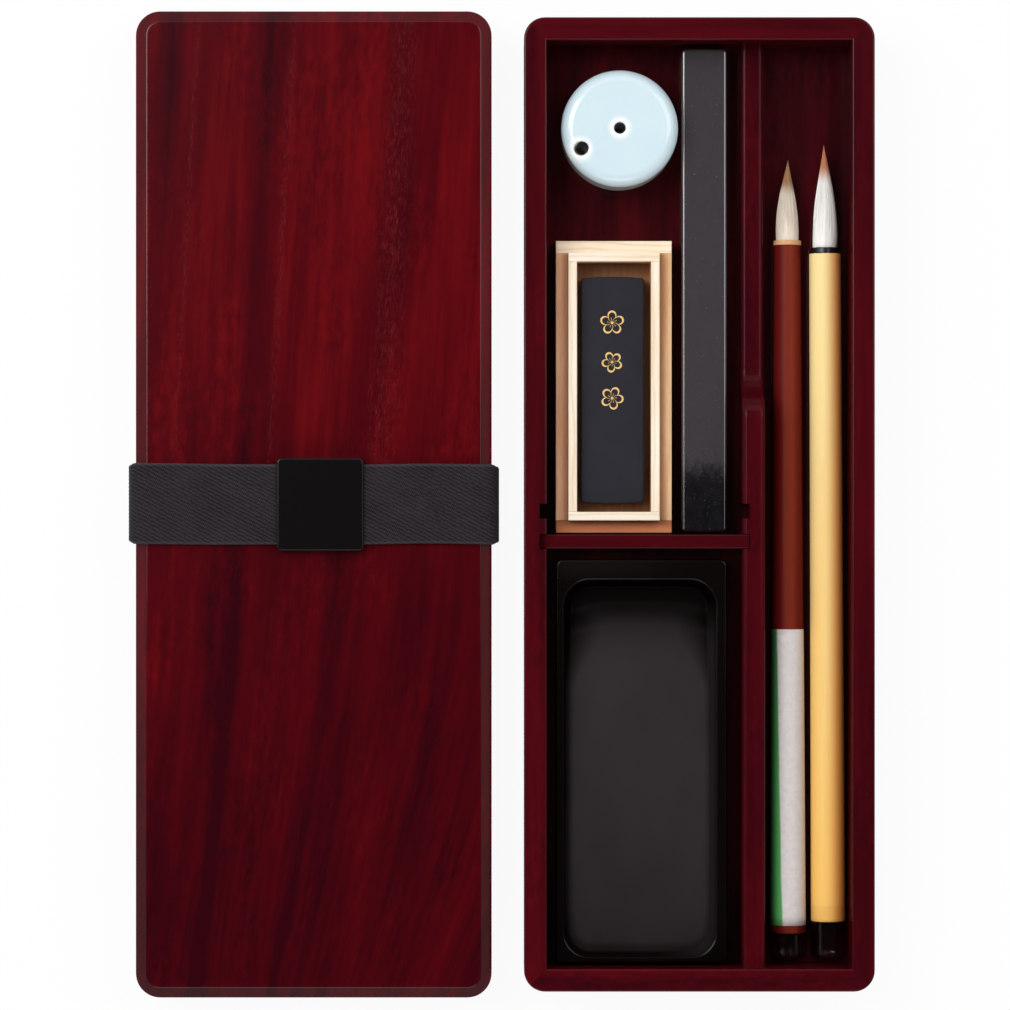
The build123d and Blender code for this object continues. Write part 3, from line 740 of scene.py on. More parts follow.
@dataclass(frozen=True)
class ClearPlastic:
    """Thin clear moulded plastic: see-through with a mirror-like skin."""

    name: str
    tail: float
    empty_run: tuple = (0.3, -0.5)
    highest_mirror: float = 0.22
    # share of the painted shade layer past the handle's tail
    smoke: float = 0.16

    def make(self) -> bpy.types.Material:
        """Clear shader mixed with gloss by the Fresnel share; past the handle's tail a dark layer is mixed
        in, painted shade for the dark floor seen through the cap.

        Returns:
            The material.
        """
        graph = Graph(self.name)
        place = graph.millimetres()
        ripple = graph.noise(place, (0.5, 0.25, 0.5))
        empty = place[1].step(*np.add(self.tail, self.empty_run))
        share = graph.node("ShaderNodeFresnel", inputs={"IOR": 1.42}) * 0.7
        mirror = share.least(self.highest_mirror) * (empty * 0.85 + 0.15) + ripple * empty * 0.01 + 0.001
        # painted shade: the empty end of the cap is darkened
        hidden = mirror + empty * self.smoke
        clear = graph.node("ShaderNodeBsdfTransparent", inputs={"Color": (0.985, 0.98, 0.98, 1)})
        shine = graph.node("ShaderNodeBsdfPrincipled", inputs={
            "Base Color": graph.blend(mirror / hidden, paint(14, 8, 9), paint(204, 194, 196)),
            "Metallic": 1.0,
            "Roughness": 0.10,
            "Normal": graph.bump(ripple, 0.12),
        })
        return graph.end(graph.node("ShaderNodeMixShader", inputs={0: hidden, 1: clear, 2: shine}))


@dataclass(frozen=True)
class Webbing:
    """Charcoal twill elastic. U runs along the band and V across it, both in metres."""

    width: float
    rib: float
    slope: float
    name: str = "elastic_webbing"
    yarn: float = 0.62
    selvedge: tuple = (-1.0, -0.4)

    def make(self) -> bpy.types.Material:
        """Yarns lie on slanted ribs: a sine across the ribs, cut by a finer sine along each one.

        Returns:
            The material.
        """
        graph = Graph(self.name)
        u, v, _ = graph.wrap()
        along, across = u * (1 / MM), v * (1 / MM)
        cloth = (along, across, 0.0)
        jitter = graph.noise(cloth, 0.7) * 1.1
        pitch = self.rib * math.hypot(1, self.slope)
        ribs = ((across + along * self.slope + jitter) * (TURN / pitch)).sine()
        yarns = ((along - across * self.slope) * (TURN / self.yarn)).sine()
        fuzz = graph.noise(cloth, 4.0, 3.0, 0.7)
        worn = graph.noise(cloth, (0.08, 0.15, 1.0))
        weave = (ribs * 0.5 + 0.5) * 0.20 + (yarns * 0.5 + 0.5) * 0.14 + fuzz * 0.66
        half = self.width / 2
        edge = (across - half).size().step(*np.add(half, self.selvedge))
        body = graph.blend((weave + worn * 0.2 - 0.1).step(0.2, 0.85), paint(8, 6, 7), paint(56, 50, 55))
        return graph.gloss(
            graph.blend(edge * 0.35, body, paint(78, 72, 76)), 0.88 - weave * 0.15, graph.bump(weave, 0.12),
            specular=0.12, others={"Sheen Weight": 0.06, "Sheen Roughness": 0.5},
        )


@dataclass(frozen=True)
class Moulding:
    """Near-black glossy plastic of the clasp, with faint rub marks."""

    name: str = "clasp_plastic"

    def make(self) -> bpy.types.Material:
        """Rub marks are noise drawn out along x.

        Returns:
            The material.
        """
        graph = Graph(self.name)
        place = graph.millimetres()
        rubs = graph.noise(place, (0.4, 3.0, 3.0), 3.0, 0.7)
        relief = graph.bump(graph.noise(place, 2.0), 0.012)
        colour = graph.blend(rubs, paint(10, 7, 8), paint(18, 14, 15))
        return graph.gloss(colour, rubs * 0.08 + 0.17, relief, specular=0.10, coat=0.35, coat_rough=0.06)


# ------------------------------------------------------------------- surfaces


def stand(name: str, data: bpy.types.ID) -> bpy.types.Object:
    """Put a new object into the scene.

    Args:
        name: its name.
        data: its mesh, lamp or lens.

    Returns:
        The object.
    """
    made = bpy.data.objects.new(name, data)
    bpy.context.scene.collection.objects.link(made)
    return made


def new_piece(name: str, points: np.ndarray, faces: np.ndarray, uv: np.ndarray,
              finish: bpy.types.Material) -> bpy.types.Object:
    """A smooth piece with one finish.

    Args:
        name: the piece's name.
        points: its points by three, in millimetres.
        faces: the numbers of each face's corners, by four.
        uv: the place in the map of each face's corners, by four by two.
        finish: its material.

    Returns:
        The piece.
    """
    mesh = bpy.data.meshes.new(name)
    mesh.from_pydata(points * MM, [], faces)
    mesh.uv_layers.new(name="wrap").data.foreach_set("uv", uv.astype(np.float32).ravel())
    mesh.shade_smooth()
    mesh.materials.append(finish)
    return stand(name, mesh)


def closed_mesh(name: str, points: np.ndarray, finish: bpy.types.Material, uv: np.ndarray,
                loop_rows: bool = False) -> bpy.types.Object:
    """A closed mesh over a grid whose columns run round it; coinciding points are merged.

    Each square of the grid is one face. Faces are turned outwards by the sign of the volume they shut in,
    which is the sum of each face's corner product.

    Args:
        name: the piece's name.
        points: rows by columns by three, in millimetres.
        finish: its material.
        uv: rows by one more column by two, with one more row where the rows are looped.
        loop_rows: whether the last row joins the first.

    Returns:
        The piece.
    """
    rows, columns, _ = points.shape
    row, column = np.meshgrid(np.arange(rows if loop_rows else rows - 1), np.arange(columns), indexing="ij")
    next_row, next_column = (row + 1) % rows, (column + 1) % columns
    corners = [(row, column), (row, next_column), (next_row, next_column), (next_row, column)]
    faces = np.stack([r * columns + c for r, c in corners], axis=-1).reshape(-1, 4)
    flat = points.reshape(-1, 3)
    a, b, c, d = (flat[faces[:, corner]] for corner in range(4))
    order = slice(None) if np.sum(a * np.cross(b - d, c)) > 0 else slice(None, None, -1)
    wide = [(row, column), (row, column + 1), (row + 1, column + 1), (row + 1, column)]
    given = np.stack([uv[r, c] for r, c in wide], axis=2).reshape(-1, 4, 2)
    piece = new_piece(name, flat, faces[:, order], given[:, order], finish)
    shaped = bmesh.new()
    shaped.from_mesh(piece.data)
    bmesh.ops.remove_doubles(shaped, verts=shaped.verts, dist=MERGED)
    shaped.to_mesh(piece.data)
    shaped.free()
    return piece


def grid_map(rows: np.ndarray, columns: np.ndarray) -> np.ndarray:
    """A map over a grid, whose first number goes with the rows and second with the columns."""
    return np.stack(np.meshgrid(rows, columns, indexing="ij"), axis=-1)


def settle(piece: bpy.types.Object, body: str, slot: str, *nodes: str) -> None:
    """Attach a new piece to the body it rides on, and hide the nodes it replaces.

    Args:
        piece: the piece.
        body: the body it moves with.
        slot: the material slot; not used.
        nodes: the nodes it stands for.
    """
    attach(piece, body)
    if nodes:
        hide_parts(*nodes)
    log.info("%s: %d faces on %s", piece.name, len(piece.data.polygons), body)


def dress(finish: bpy.types.Material, *nodes: str) -> None:
    """Give solids one finish.

    Args:
        finish: the material.
        nodes: the solids' names.
    """
    for node in nodes:
        for slot in frame["nodes"][node].material_slots:
            slot.material = finish
        log.info("%s: %s", node, finish.name)


def extent(node: str) -> tuple[np.ndarray, np.ndarray]:
    """Lowest and highest corner of a node, in millimetres."""
    low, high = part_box(node)
    return np.array(low) / MM, np.array(high) / MM


def rounded_outline(half: np.ndarray, radius: float, sides: tuple[int, int], turn: int) -> np.ndarray:
    """Points round a rectangle with round corners, anticlockwise from the right side's lower end.

    Each side is evenly spaced between its corners' arcs, and each arc evenly by angle.

    Args:
        half: half its width and half its length.
        radius: of its corners.
        sides: number of points on a long upright side and on a short level one.
        turn: number of points on each corner's arc.

    Returns:
        The points, by two.
    """
    centres = (half - radius) * ((1, 1), (-1, 1), (-1, -1), (1, -1))
    stretches = []
    for quarter, centre in enumerate(centres):
        angle = np.linspace(0, TURN / 4, turn) + quarter * TURN / 4
        arc = radius * np.stack([np.cos(angle), np.sin(angle)], axis=-1)
        start, end = centres[quarter - 1] + arc[0], centre + arc[0]
        share = np.linspace(0, 1, sides[quarter % 2], endpoint=False)[:, None]
        stretches += [start + (end - start) * share, centre + arc]
    return np.concatenate(stretches)


def smooth_step(values: np.ndarray | float, low: float, high: float) -> np.ndarray:
    """The cubic step from 0 at low to 1 at high."""
    share = np.clip((values - low) / (high - low), 0, 1)
    return share * share * (3 - 2 * share)


@dataclass(frozen=True)
class Axis:
    """A brush's line: a point on it, and unit vectors towards the tip, level across it and up across it."""

    base: np.ndarray
    along: np.ndarray
    level: np.ndarray
    up: np.ndarray

    def out(self, angle: np.ndarray) -> np.ndarray:
        """Unit vectors across the line, at angles round it."""
        return np.multiply.outer(np.cos(angle), self.level) + np.multiply.outer(np.sin(angle), self.up)

    def points(self, place: np.ndarray, radius: np.ndarray, angle: np.ndarray,
               sweep: np.ndarray | float = 0.0) -> np.ndarray:
        """Points so far along the line, so far sideways and so far outwards at an angle, in millimetres."""
        middle = self.base + np.multiply.outer(place, self.along) + np.multiply.outer(sweep, self.level)
        return middle + self.out(angle) * radius[..., None]


def brush_axis(body: str, ring_share: float = 0.0) -> Axis:
    """The line that a brush slides along, pointing to its tip.

    Args:
        body: the brush.
        ring_share: how far past its ring's middle it starts, in lengths of the ring.

    Returns:
        The line.
    """
    joint = next(joint for joint in frame["joints"] if joint["child"] == body)
    along = np.array(joint["axis"], float)
    along *= np.sign(along[1]) / np.linalg.norm(along)
    level = np.cross(along, (0, 0, 1))
    level /= np.linalg.norm(level)
    low, high = extent(f"{body}_ferrule")
    base = (low + high) / 2 + along * (high[1] - low[1]) * ring_share
    return Axis(base, along, level, np.cross(level, along))


# --------------------------------------------------------------- sub-assemblies


@dataclass
class Tray:
    """The lacquered tray with its fixed and its loose divider; its floor's darker tones are painted shade.
    """

    wall_coat: float = 0.3
    divider_coat: float = 0.10
    # darker tones for the floor: painted shade, where the walls keep light out of the deep bays
    floor_shade_tones: tuple = (paint(27, 4, 8), paint(53, 8, 13), paint(78, 12, 18))

    def build(self) -> None:
        """Dress its boards, each with the grain along it, the floor in darker tones that are painted shade.
        """
        along = Lacquer("red_lacquer_along", coat=self.wall_coat)
        dress(along.make(), "tray_wall_left", "tray_wall_right")
        dress(Lacquer("red_lacquer_divider", coat=self.divider_coat).make(), "long_divider")
        across = Lacquer("red_lacquer_across", Grain.ACROSS, coat=self.wall_coat)
        dress(across.make(), "tray_wall_back", "tray_wall_front", "cross_divider")
        dress(Lacquer("red_lacquer_floor_painted_shade", Grain.ALONG, *self.floor_shade_tones).make(), "tray_floor")


@dataclass
class Lid:
    """The bevelled lid, whose grain leans and fans out towards its front."""

    lean: float = 0.057
    bend: float = 0.00033
    bend_from: float = -15.0
    fan: float = 0.000018
    fan_from: float = -150.0
    main_streak: float = -141.4
    far_streak: float = -111.0
    near_streak: float = -170.0
    clouded: float = -99.0
    bright_band: float = -118.0
    tones: tuple = (paint(48, 3, 11), paint(74, 4, 12), paint(100, 9, 15))

    def panel(self) -> Lacquer:
        """The panel's own lacquer, with its streaks and flecks.

        Returns:
            The finish.
        """
        streaks = (
            (self.main_streak + 1.5, 8.5, -30.0, 30.0, 0.11),
            (self.main_streak, 5.0, 60.0, 0.0, 0.13),
            (self.main_streak, 3.2, 10.0, -50.0, 0.10),
            (self.far_streak, 5.0, 40.0, -20.0, 0.11),
            (self.near_streak, 6.0, 0.0, 60.0, 0.13),
            (self.clouded, 14.0, -10.0, 40.0, 0.08),
            (self.bright_band, 13.0, 0.0, 60.0, -0.05),
            # this wide row darkens the panel more and more towards its front: painted shade, as the light
            # falls off away from the back
            (self.main_streak, 500.0, 60.0, -90.0, 0.13),
        )
        flecks = (
            (self.main_streak + 8.0, 2.0, -10.0, 30.0),
            (self.near_streak + 7.0, 1.6, -10.0, 30.0),
            (self.clouded, 8.0, -20.0, 20.0),
        )
        lines = {"lean": self.lean, "bend": self.bend, "bend_from": self.bend_from}
        fans = {"fan": self.fan, "fan_from": self.fan_from, "streaks": streaks, "flecks": flecks}
        return Lacquer("red_lacquer_panel", Grain.ALONG, *self.tones, **lines, **fans)

    def build(self) -> None:
        """Dress the panel, the boards under it and the lip."""
        dress(self.panel().make(), "lid_panel")
        for grain, sides in ((Grain.ALONG, ("left", "right")), (Grain.ACROSS, ("back", "front"))):
            finish = Lacquer(f"red_lacquer_lid_{grain.name.lower()}", grain).make()
            dress(finish, *(f"lid_{part}_{side}" for part in ("board", "lip") for side in sides))


@dataclass
class Band:
    """The twill elastic round the lid, with its clasp."""

    width: float = 25.0
    thickness: float = 1.6
    turn: float = 3.0
    turn_points: int = 16
    ramp: float = 4.0
    rise: float = 0.65
    join_gap: float = 3.0
    sample: float = 0.32
    rib: float = 1.1
    slope: float = 0.52
    rib_height: float = 0.05
    selvedge: tuple = (0.8, 2.0)
    wander: float = 0.35
    slow_wander: float = 31.0
    quick_wander: float = 13.7
    wander_start: float = 1.1
    held: tuple = (14.0, 40.0)
    narrowing: float = 0.008
    narrow_run: float = 19.0
    tuck: float = 0.6
    tuck_run: float = 1.4
    outer_columns: int = 72
    inner_columns: int = 10
    edge_columns: int = 5

    def path(self) -> tuple[np.ndarray, np.ndarray]:
        """The middle line of the webbing round the lid, from one end in the clasp to the other.

        It is a rectangle whose corners are quarter circles, raised to the clasp by a smooth step over
        the ramp.

        Returns:
            Points and outward directions in the plane across the lid, both by two.
        """
        low, high = extent("elastic_band")
        clasp_low, clasp_high = extent("clasp_cover")
        middle, clasp_half = (clasp_low[0] + clasp_high[0]) / 2, (clasp_high[0] - clasp_low[0]) / 2
        half, gap = self.thickness / 2, self.join_gap / 2
        left, right, bottom, top = low[0] + half, high[0] - half, half, high[2] - half - self.rise
        corners = np.array([(right, top), (right, bottom), (left, bottom), (left, top)])
        centres = corners - np.array([(1, 1), (1, -1), (-1, -1), (-1, 1)]) * (self.turn + half)
        angles = np.linspace(TURN / 4, 0, self.turn_points) - np.arange(4)[:, None] * TURN / 4
        arcs = centres[:, None] + (self.turn + half) * np.stack([np.cos(angles), np.sin(angles)], axis=-1)
        line = np.concatenate([[(middle + gap, top)], arcs.reshape(-1, 2), [(middle - gap, top)]])
        places = np.append(0, np.cumsum(np.linalg.norm(np.diff(line, axis=0), axis=1)))
        even = np.linspace(0, places[-1], int(places[-1] / self.sample))
        line = np.stack([np.interp(even, places, line[:, axis]) for axis in range(2)], axis=-1)
        lift = 1 - smooth_step(np.abs(line[:, 0] - middle), clasp_half, clasp_half + self.ramp)
        line[:, 1] += self.rise * lift * (line[:, 1] > (top + bottom) / 2)
        along = np.gradient(line, axis=0)
        along /= np.linalg.norm(along, axis=1)[:, None]
        return line, np.stack([-along[:, 1], along[:, 0]], axis=-1)

    def webbing(self) -> bpy.types.Object:
        """The band: a flat section with round edges carried along the path, its outer face ribbed.

        The ribs are a sine of the place across plus a slope times the place along. Away from the clasp the
        edges wander by two slow sines; near it the band is tucked in, and both ends are shut.

        Returns:
            The piece.
        """
        line, out = self.path()
        length = np.arange(len(line)) * self.sample
        half, edge = self.width / 2, self.thickness / 2
        flat = half - edge
        arc = np.linspace(TURN / 4, -TURN / 4, self.edge_columns + 2)[1:-1]
        outer = np.linspace(-flat, flat, self.outer_columns)
        inner = np.linspace(flat, -flat, self.inner_columns)
        across = np.concatenate([outer, flat + edge * np.cos(arc), inner, -flat - edge * np.cos(arc)])
        height = np.concatenate([
            np.full_like(outer, edge), edge * np.sin(arc), np.full_like(inner, -edge), -edge * np.sin(arc)
        ])
        pitch = self.rib * math.hypot(1, self.slope)
        wave = np.sin((across + length[:, None] * self.slope) * TURN / pitch)
        ribbed = (height >= edge) * smooth_step(half - np.abs(across), *self.selvedge)
        lifted = height + (wave - 1) * self.rib_height * ribbed
        reach = np.abs(line[:, 0] - line[:, 0].mean())
        slow = np.sin(length / self.slow_wander + self.wander_start)
        drift = self.wander * (0.6 * slow + 0.4 * np.sin(length / self.quick_wander))
        drift = drift * smooth_step(reach, *self.held)
        shrink = 1 - self.narrowing * (1 + np.sin(length / self.narrow_run))
        tuck = self.tuck * smooth_step(reach - reach.max(), -self.tuck_run, 0)
        side = across * (shrink - tuck / half)[:, None] + drift[:, None]
        points = np.stack([
            line[:, :1] + out[:, :1] * lifted, side, line[:, 1:] + out[:, 1:] * lifted
        ], axis=-1)
        ends = [np.broadcast_to(points[k].mean(axis=0), points[k].shape)[None] for k in (0, -1)]
        uv = grid_map(np.pad(length, 1, mode="edge") * MM, (np.append(across, across[0]) + half) * MM)
        cloth = Webbing(self.width, self.rib, self.slope).make()
        return closed_mesh("band_webbing", np.concatenate([ends[0], points, ends[1]]), cloth, uv)

    def build(self) -> None:
        """Make the webbing and dress the clasp."""
        settle(self.webbing(), "band", "elastic_webbing", "elastic_band")
        dress(Moulding().make(), "clasp_cover", "clasp_base")


@dataclass
class Inkstone:
    """The carved inkstone: rimmed well, sloping grinding face and deep sea at the back."""

    corner: float = 2.0
    easing: float = 0.7
    foot: float = 0.3
    pinch: float = 1e-6
    left_rim: float = 2.3
    right_rim: float = 3.3
    back_rim: float = 6.3
    front_rim: float = 1.6
    well_corner: float = 8.5
    least_corner: float = 1.0
    wall_run: float = 2.6
    lip_run: float = 0.35
    lip_share: float = 0.18
    rim_bead: float = 0.12
    land_front: float = 2.6
    land_back: float = 4.0
    sea_depth: float = 8.0
    sea_length: float = 6.6
    sea_slope: float = 8.5
    bulge: float = 2.2
    bulge_run: tuple = (8.0, 22.0)
    sides: tuple = (150, 30)
    turn: int = 14
    side_rings: int = 5
    edge_rings: int = 6
    rim_rings: int = 8
    wall_rings: int = 14
    bottom_rings: int = 44
    wall_share: float = 0.16
    next_share: float = 0.18

    def depth(self, inset: float, plan: np.ndarray, back: float, front: float) -> np.ndarray:
        """How deep the well is at points inside its outline.

        The grinding face falls evenly from front to back, a smooth step takes it down into the sea, and
        smooth steps of the distance from the outline make the lip and the wall.

        Args:
            inset: distance from the outline.
            plan: the points' x and y.
            back: y of the well's back.
            front: y of its front.

        Returns:
            The depths.
        """
        x, y = plan[:, 0], plan[:, 1]
        share = np.clip((y - front) / (back - front), 0, 1)
        land = self.land_front + (self.land_back - self.land_front) * share
        bulge = self.bulge * smooth_step(np.abs(x - x.mean()), *self.bulge_run)
        sea = 1 - smooth_step(back - y - bulge, self.sea_length, self.sea_length + self.sea_slope)
        lip, wall = smooth_step(inset, 0, self.lip_run), smooth_step(inset, 0, self.wall_run)
        return (land + (self.sea_depth - land) * sea) * (self.lip_share * lip + (1 - self.lip_share) * wall)

    def stone(self) -> bpy.types.Object:
        """The stone as rings: under it, up its sides, over its rim and down into the well.

        Each ring is a rounded rectangle. Between the stone's outline and the well's, rings are straight
        blends of the two; inside the well they are the well's outline moved inwards.

        Returns:
            The piece.
        """
        low, high = extent("inkstone")
        middle, half, bottom, top = (low + high)[:2] / 2, (high - low)[:2] / 2, low[2], high[2]
        well_low = low[:2] + (self.left_rim, self.front_rim)
        well_high = high[:2] - (self.right_rim, self.back_rim)
        well_middle, well_half = (well_low + well_high) / 2, (well_high - well_low) / 2
        rings, insets = [], []

        def outline(size: np.ndarray, radius: float, centre: np.ndarray = middle) -> np.ndarray:
            """One ring's plan."""
            return rounded_outline(size, radius, self.sides, self.turn) + centre

        def ring(inset: float, height: np.ndarray | float, plan: np.ndarray) -> None:
            """Keep a ring, with its distance inside the well's outline, or a mark below 0 outside it."""
            rings.append(np.column_stack([plan, np.broadcast_to(height, len(plan))]))
            insets.append(inset)

        for share in (0.0, 0.5, 0.97):
            size = half - half.min() * (1 - share) + (0 if share else self.pinch)
            ring(-4.0, bottom, outline(size, min(self.corner, size.min()) * share))
        ring(-3.5, bottom + self.foot, outline(half, self.corner))
        for share in np.linspace(0.1, 1, self.side_rings):
            rise = (top - self.easing - bottom - self.foot) * share
            ring(-3.0, bottom + self.foot + rise, outline(half, self.corner))
        for angle in np.linspace(0, TURN / 4, self.edge_rings)[1:]:
            inset = self.easing * (1 - math.cos(angle))
            plan = outline(half - inset, self.corner - inset * 0.8)
            ring(-2.0, top - self.easing * (1 - math.sin(angle)), plan)
        mouth = outline(well_half, self.well_corner, well_middle)
        for share in np.linspace(0, 1, self.rim_rings)[1:-1]:
            bead = self.rim_bead * (math.sin(share * math.pi) - 1)
            ring(-1.0, top + bead * 0.5, plan + (mouth - plan) * share)
        wall = np.linspace(0, self.wall_share, self.wall_rings)
        for share in (*wall, *np.linspace(self.next_share, 1, self.bottom_rings)):
            inset = well_half.min() * share
            size = well_half - inset * 0.99999
            corner = max(self.well_corner - inset, min(size.min(), self.least_corner))
            plan = outline(size, corner, well_middle)
            ring(inset, top - self.depth(inset, plan, well_high[1], well_low[1]), plan)
        uv = grid_map(0.5 + np.array(insets) / 100, np.linspace(0, 1, len(mouth) + 1))
        slate = Slate("inkstone_slate", low, high).make()
        return closed_mesh("carved_inkstone", np.stack(rings), slate, uv)

    def build(self) -> None:
        """Carve the stone."""
        settle(self.stone(), "inkstone", "inkstone_slate", "inkstone")


@dataclass
class InkBox:
    """The paulownia box and the ink stick in it."""

    lip_tones: tuple = (paint(250, 240, 222), paint(239, 216, 182))
    # the base's darker tones are painted shade for the floor inside the box
    base_shaded_tones: tuple = (paint(170, 124, 84), paint(140, 94, 58))
    # the lip's top stays clear of the painted shade by this much
    unshaded_lip_top: float = 0.5

    def build(self) -> None:
        """Dress the boards with the grain along each one, and the ink."""
        # the boards are lit and shaded copies of one wood: the back palest as painted light from behind,
        # the front and left darker and redder as painted shade and painted red reflection from the tray;
        # the last numbers are the run of the painted lip shadow
        boards = {
            "left": (Grain.ALONG, paint(250, 200, 160), paint(226, 162, 122), (-43.4, -40.2)),
            "right": (Grain.ALONG, paint(238, 200, 156), paint(212, 164, 118), (-8.8, -11.6)),
            "back": (Grain.ACROSS, paint(252, 237, 211), paint(236, 206, 168), ()),
            "front": (Grain.ACROSS, paint(206, 128, 86), paint(168, 90, 54), (-8.2, -4.6)),
        }
        shade_top = extent("ink_box_lip_left")[1][2] - self.unshaded_lip_top
        for side, (grain, pale, warm, lip_shadow_run) in boards.items():
            board = Paulownia(f"paulownia_board_painted_light_{side}", grain, pale, warm, lip_shadow_run=lip_shadow_run)
            lip = Paulownia(f"paulownia_lip_{side}", grain, *self.lip_tones, shade_top=shade_top)
            dress(board.make(), f"ink_box_board_{side}")
            dress(lip.make(), f"ink_box_lip_{side}")
        dress(Paulownia("paulownia_base_painted_shade", Grain.ALONG, *self.base_shaded_tones).make(), "ink_box_base")
        dress(Ink().make(), "ink_stick")


@dataclass
class Desk:
    """The water dropper and the paperweight."""

    spout_inset: float = 4.2
    spout_direction: float = 208.0

    def build(self) -> None:
        """Dress both."""
        low, high = extent("water_dropper")
        middle, radius = Vector((low + high) / 2), (high[0] - low[0]) / 2
        angle = math.radians(self.spout_direction)
        spout = middle + Vector((math.cos(angle), math.sin(angle), 0)) * (radius - self.spout_inset)
        dress(Celadon("celadon_glaze", middle, spout, high[2]).make(), "water_dropper")
        dress(Steel("black_enamel", extent("paperweight")[0][1]).make(), "paperweight")


@dataclass
class Brush:
    """A brush with its clear cap: handle, ring and a tuft of combed hair."""

    name: str
    handle: Handle
    ring: Ring
    hair: Hair
    tuft_length: float
    root: float = 0.42
    flutes: int = 46
    broad_flutes: int = 17
    flute_twist: float = 1.5
    flute_depth: float = 0.02
    flute_run: float = 0.3
    sweep_reach: float = 0.35
    sweep_turn: float = 2.2
    strands: int = 260
    strand_points: int = 12
    strand_width: float = 0.11
    strand_rise: float = 0.10
    strand_drift: float = 0.10
    strand_start: float = 0.55
    strand_end: float = 0.86
    around: int = 184
    rows: int = 60
    seed: int = 7

    def radius(self, share: np.ndarray) -> np.ndarray:
        """The tuft's radius: a belly, then a drawn-out point, by a power of a cosine.

        Args:
            share: place along it, from 0 at its root to 1 at its tip.

        Returns:
            The radius, in millimetres.
        """
        low, high = extent(f"{self.name}_brush_tuft")
        belly = np.cos(np.clip(share, 0, 1) * math.pi / 2) ** 1.12
        return (high[0] - low[0]) / 2 * belly * (1 + 0.05 * np.sin(share * math.pi) ** 2)

    def phases(self) -> np.ndarray:
        """Where the waves of the two kinds of flutes and of the sweep start, drawn at random."""
        return np.random.default_rng(self.seed).uniform(0, TURN, 3)

    def sweep(self, share: np.ndarray) -> np.ndarray:
        """How far the tuft leans sideways at shares of its length."""
        return self.sweep_reach * np.sin(share * self.sweep_turn + self.phases()[2]) * share ** 2

    def tuft(self, finish: bpy.types.Material) -> bpy.types.Object:
        """The mass of the tuft: its radius times one less small flutes that deepen towards the tip.

        Args:
            finish: the hair.

        Returns:
            The piece.
        """
        axis = brush_axis(f"{self.name}_brush", self.root)
        share = np.linspace(0, 1, self.rows)[:, None]
        angle = np.linspace(0, TURN, self.around, endpoint=False)[None]
        fine, broad, _ = self.phases()
        flutes = 0.6 * np.cos(angle * self.flutes + fine + share * self.flute_twist)
        flutes = flutes + 0.4 * np.cos(angle * self.broad_flutes + broad)
        sunk = self.flute_depth * (1 + flutes) * smooth_step(share, 0, self.flute_run)
        radius = self.radius(share) * (1 - sunk)
        radius[-1] = 0
        points = axis.points(share * self.tuft_length, radius, angle, self.sweep(share))
        points = np.concatenate([np.broadcast_to(axis.base, points[:1].shape), points])
        uv = grid_map(np.append(0, share), np.linspace(0, 1, self.around + 1))[..., ::-1]
        return closed_mesh(f"{self.name}_brush_hair", points, finish, uv)

    def wisps(self, finish: bpy.types.Material) -> bpy.types.Object:
        """Single strands that lie on the tuft: four-sided tapering tubes, all in one array.

        Each strand starts at its own share of the tuft and drifts a little round it.

        Args:
            finish: the hair.

        Returns:
            The piece.
        """
        axis = brush_axis(f"{self.name}_brush", self.root)
        rng, each = np.random.default_rng(self.seed + 1), (self.strands, 1)
        start, end = rng.uniform(0, self.strand_start, each), rng.uniform(self.strand_end, 1, each)
        turn, drift = rng.uniform(0, TURN, each), rng.normal(0, self.strand_drift, each)
        steps = np.linspace(0, 1, self.strand_points)[None]
        share, angle = start + (end - start) * steps, turn + drift * steps
        rise = rng.uniform(0, self.strand_rise, each) * np.sin(steps * math.pi)
        spine = axis.points(share * self.tuft_length, self.radius(share) + rise, angle, self.sweep(share))
        out = axis.out(angle)
        taper = np.sin(np.clip(steps * 0.97 + 0.03, 0, 1) * math.pi) ** 0.35
        thick = self.strand_width / 2 * taper[..., None]
        wide, high = np.cross(out, axis.along) * thick, out * thick
        tubes = np.stack([spine + wide, spine + high, spine - wide, spine - high], axis=2)
        index = np.arange(tubes[..., 0].size).reshape(tubes.shape[:3])
        here, there = index[:, :-1], index[:, 1:]
        walls = np.stack([here, np.roll(here, -1, axis=2), np.roll(there, -1, axis=2), there], axis=-1)
        ends = np.concatenate([index[:, 0, ::-1], index[:, -1]])
        faces = np.concatenate([walls.reshape(-1, 4), ends])[:, ::-1]
        places = np.stack([angle / TURN, share], axis=-1).reshape(-1, 2)
        uv = places[faces // tubes.shape[2]]
        return new_piece(f"{self.name}_brush_strands", tubes.reshape(-1, 3), faces, uv, finish)

    def build(self) -> None:
        """Dress the handle, ring and cap, and comb the tuft."""
        hair, body = self.hair.make(), f"{self.name}_brush"
        dress(self.handle.make(), f"{body}_handle")
        dress(self.ring.make(), f"{body}_ferrule")
        tail = extent(f"{body}_handle")[0][1]
        dress(ClearPlastic(f"{self.name}_cap_plastic", tail).make(), f"{body}_cap")
        settle(self.tuft(hair), body, "hair", f"{body}_tuft")
        settle(self.wisps(hair), body, "hair")


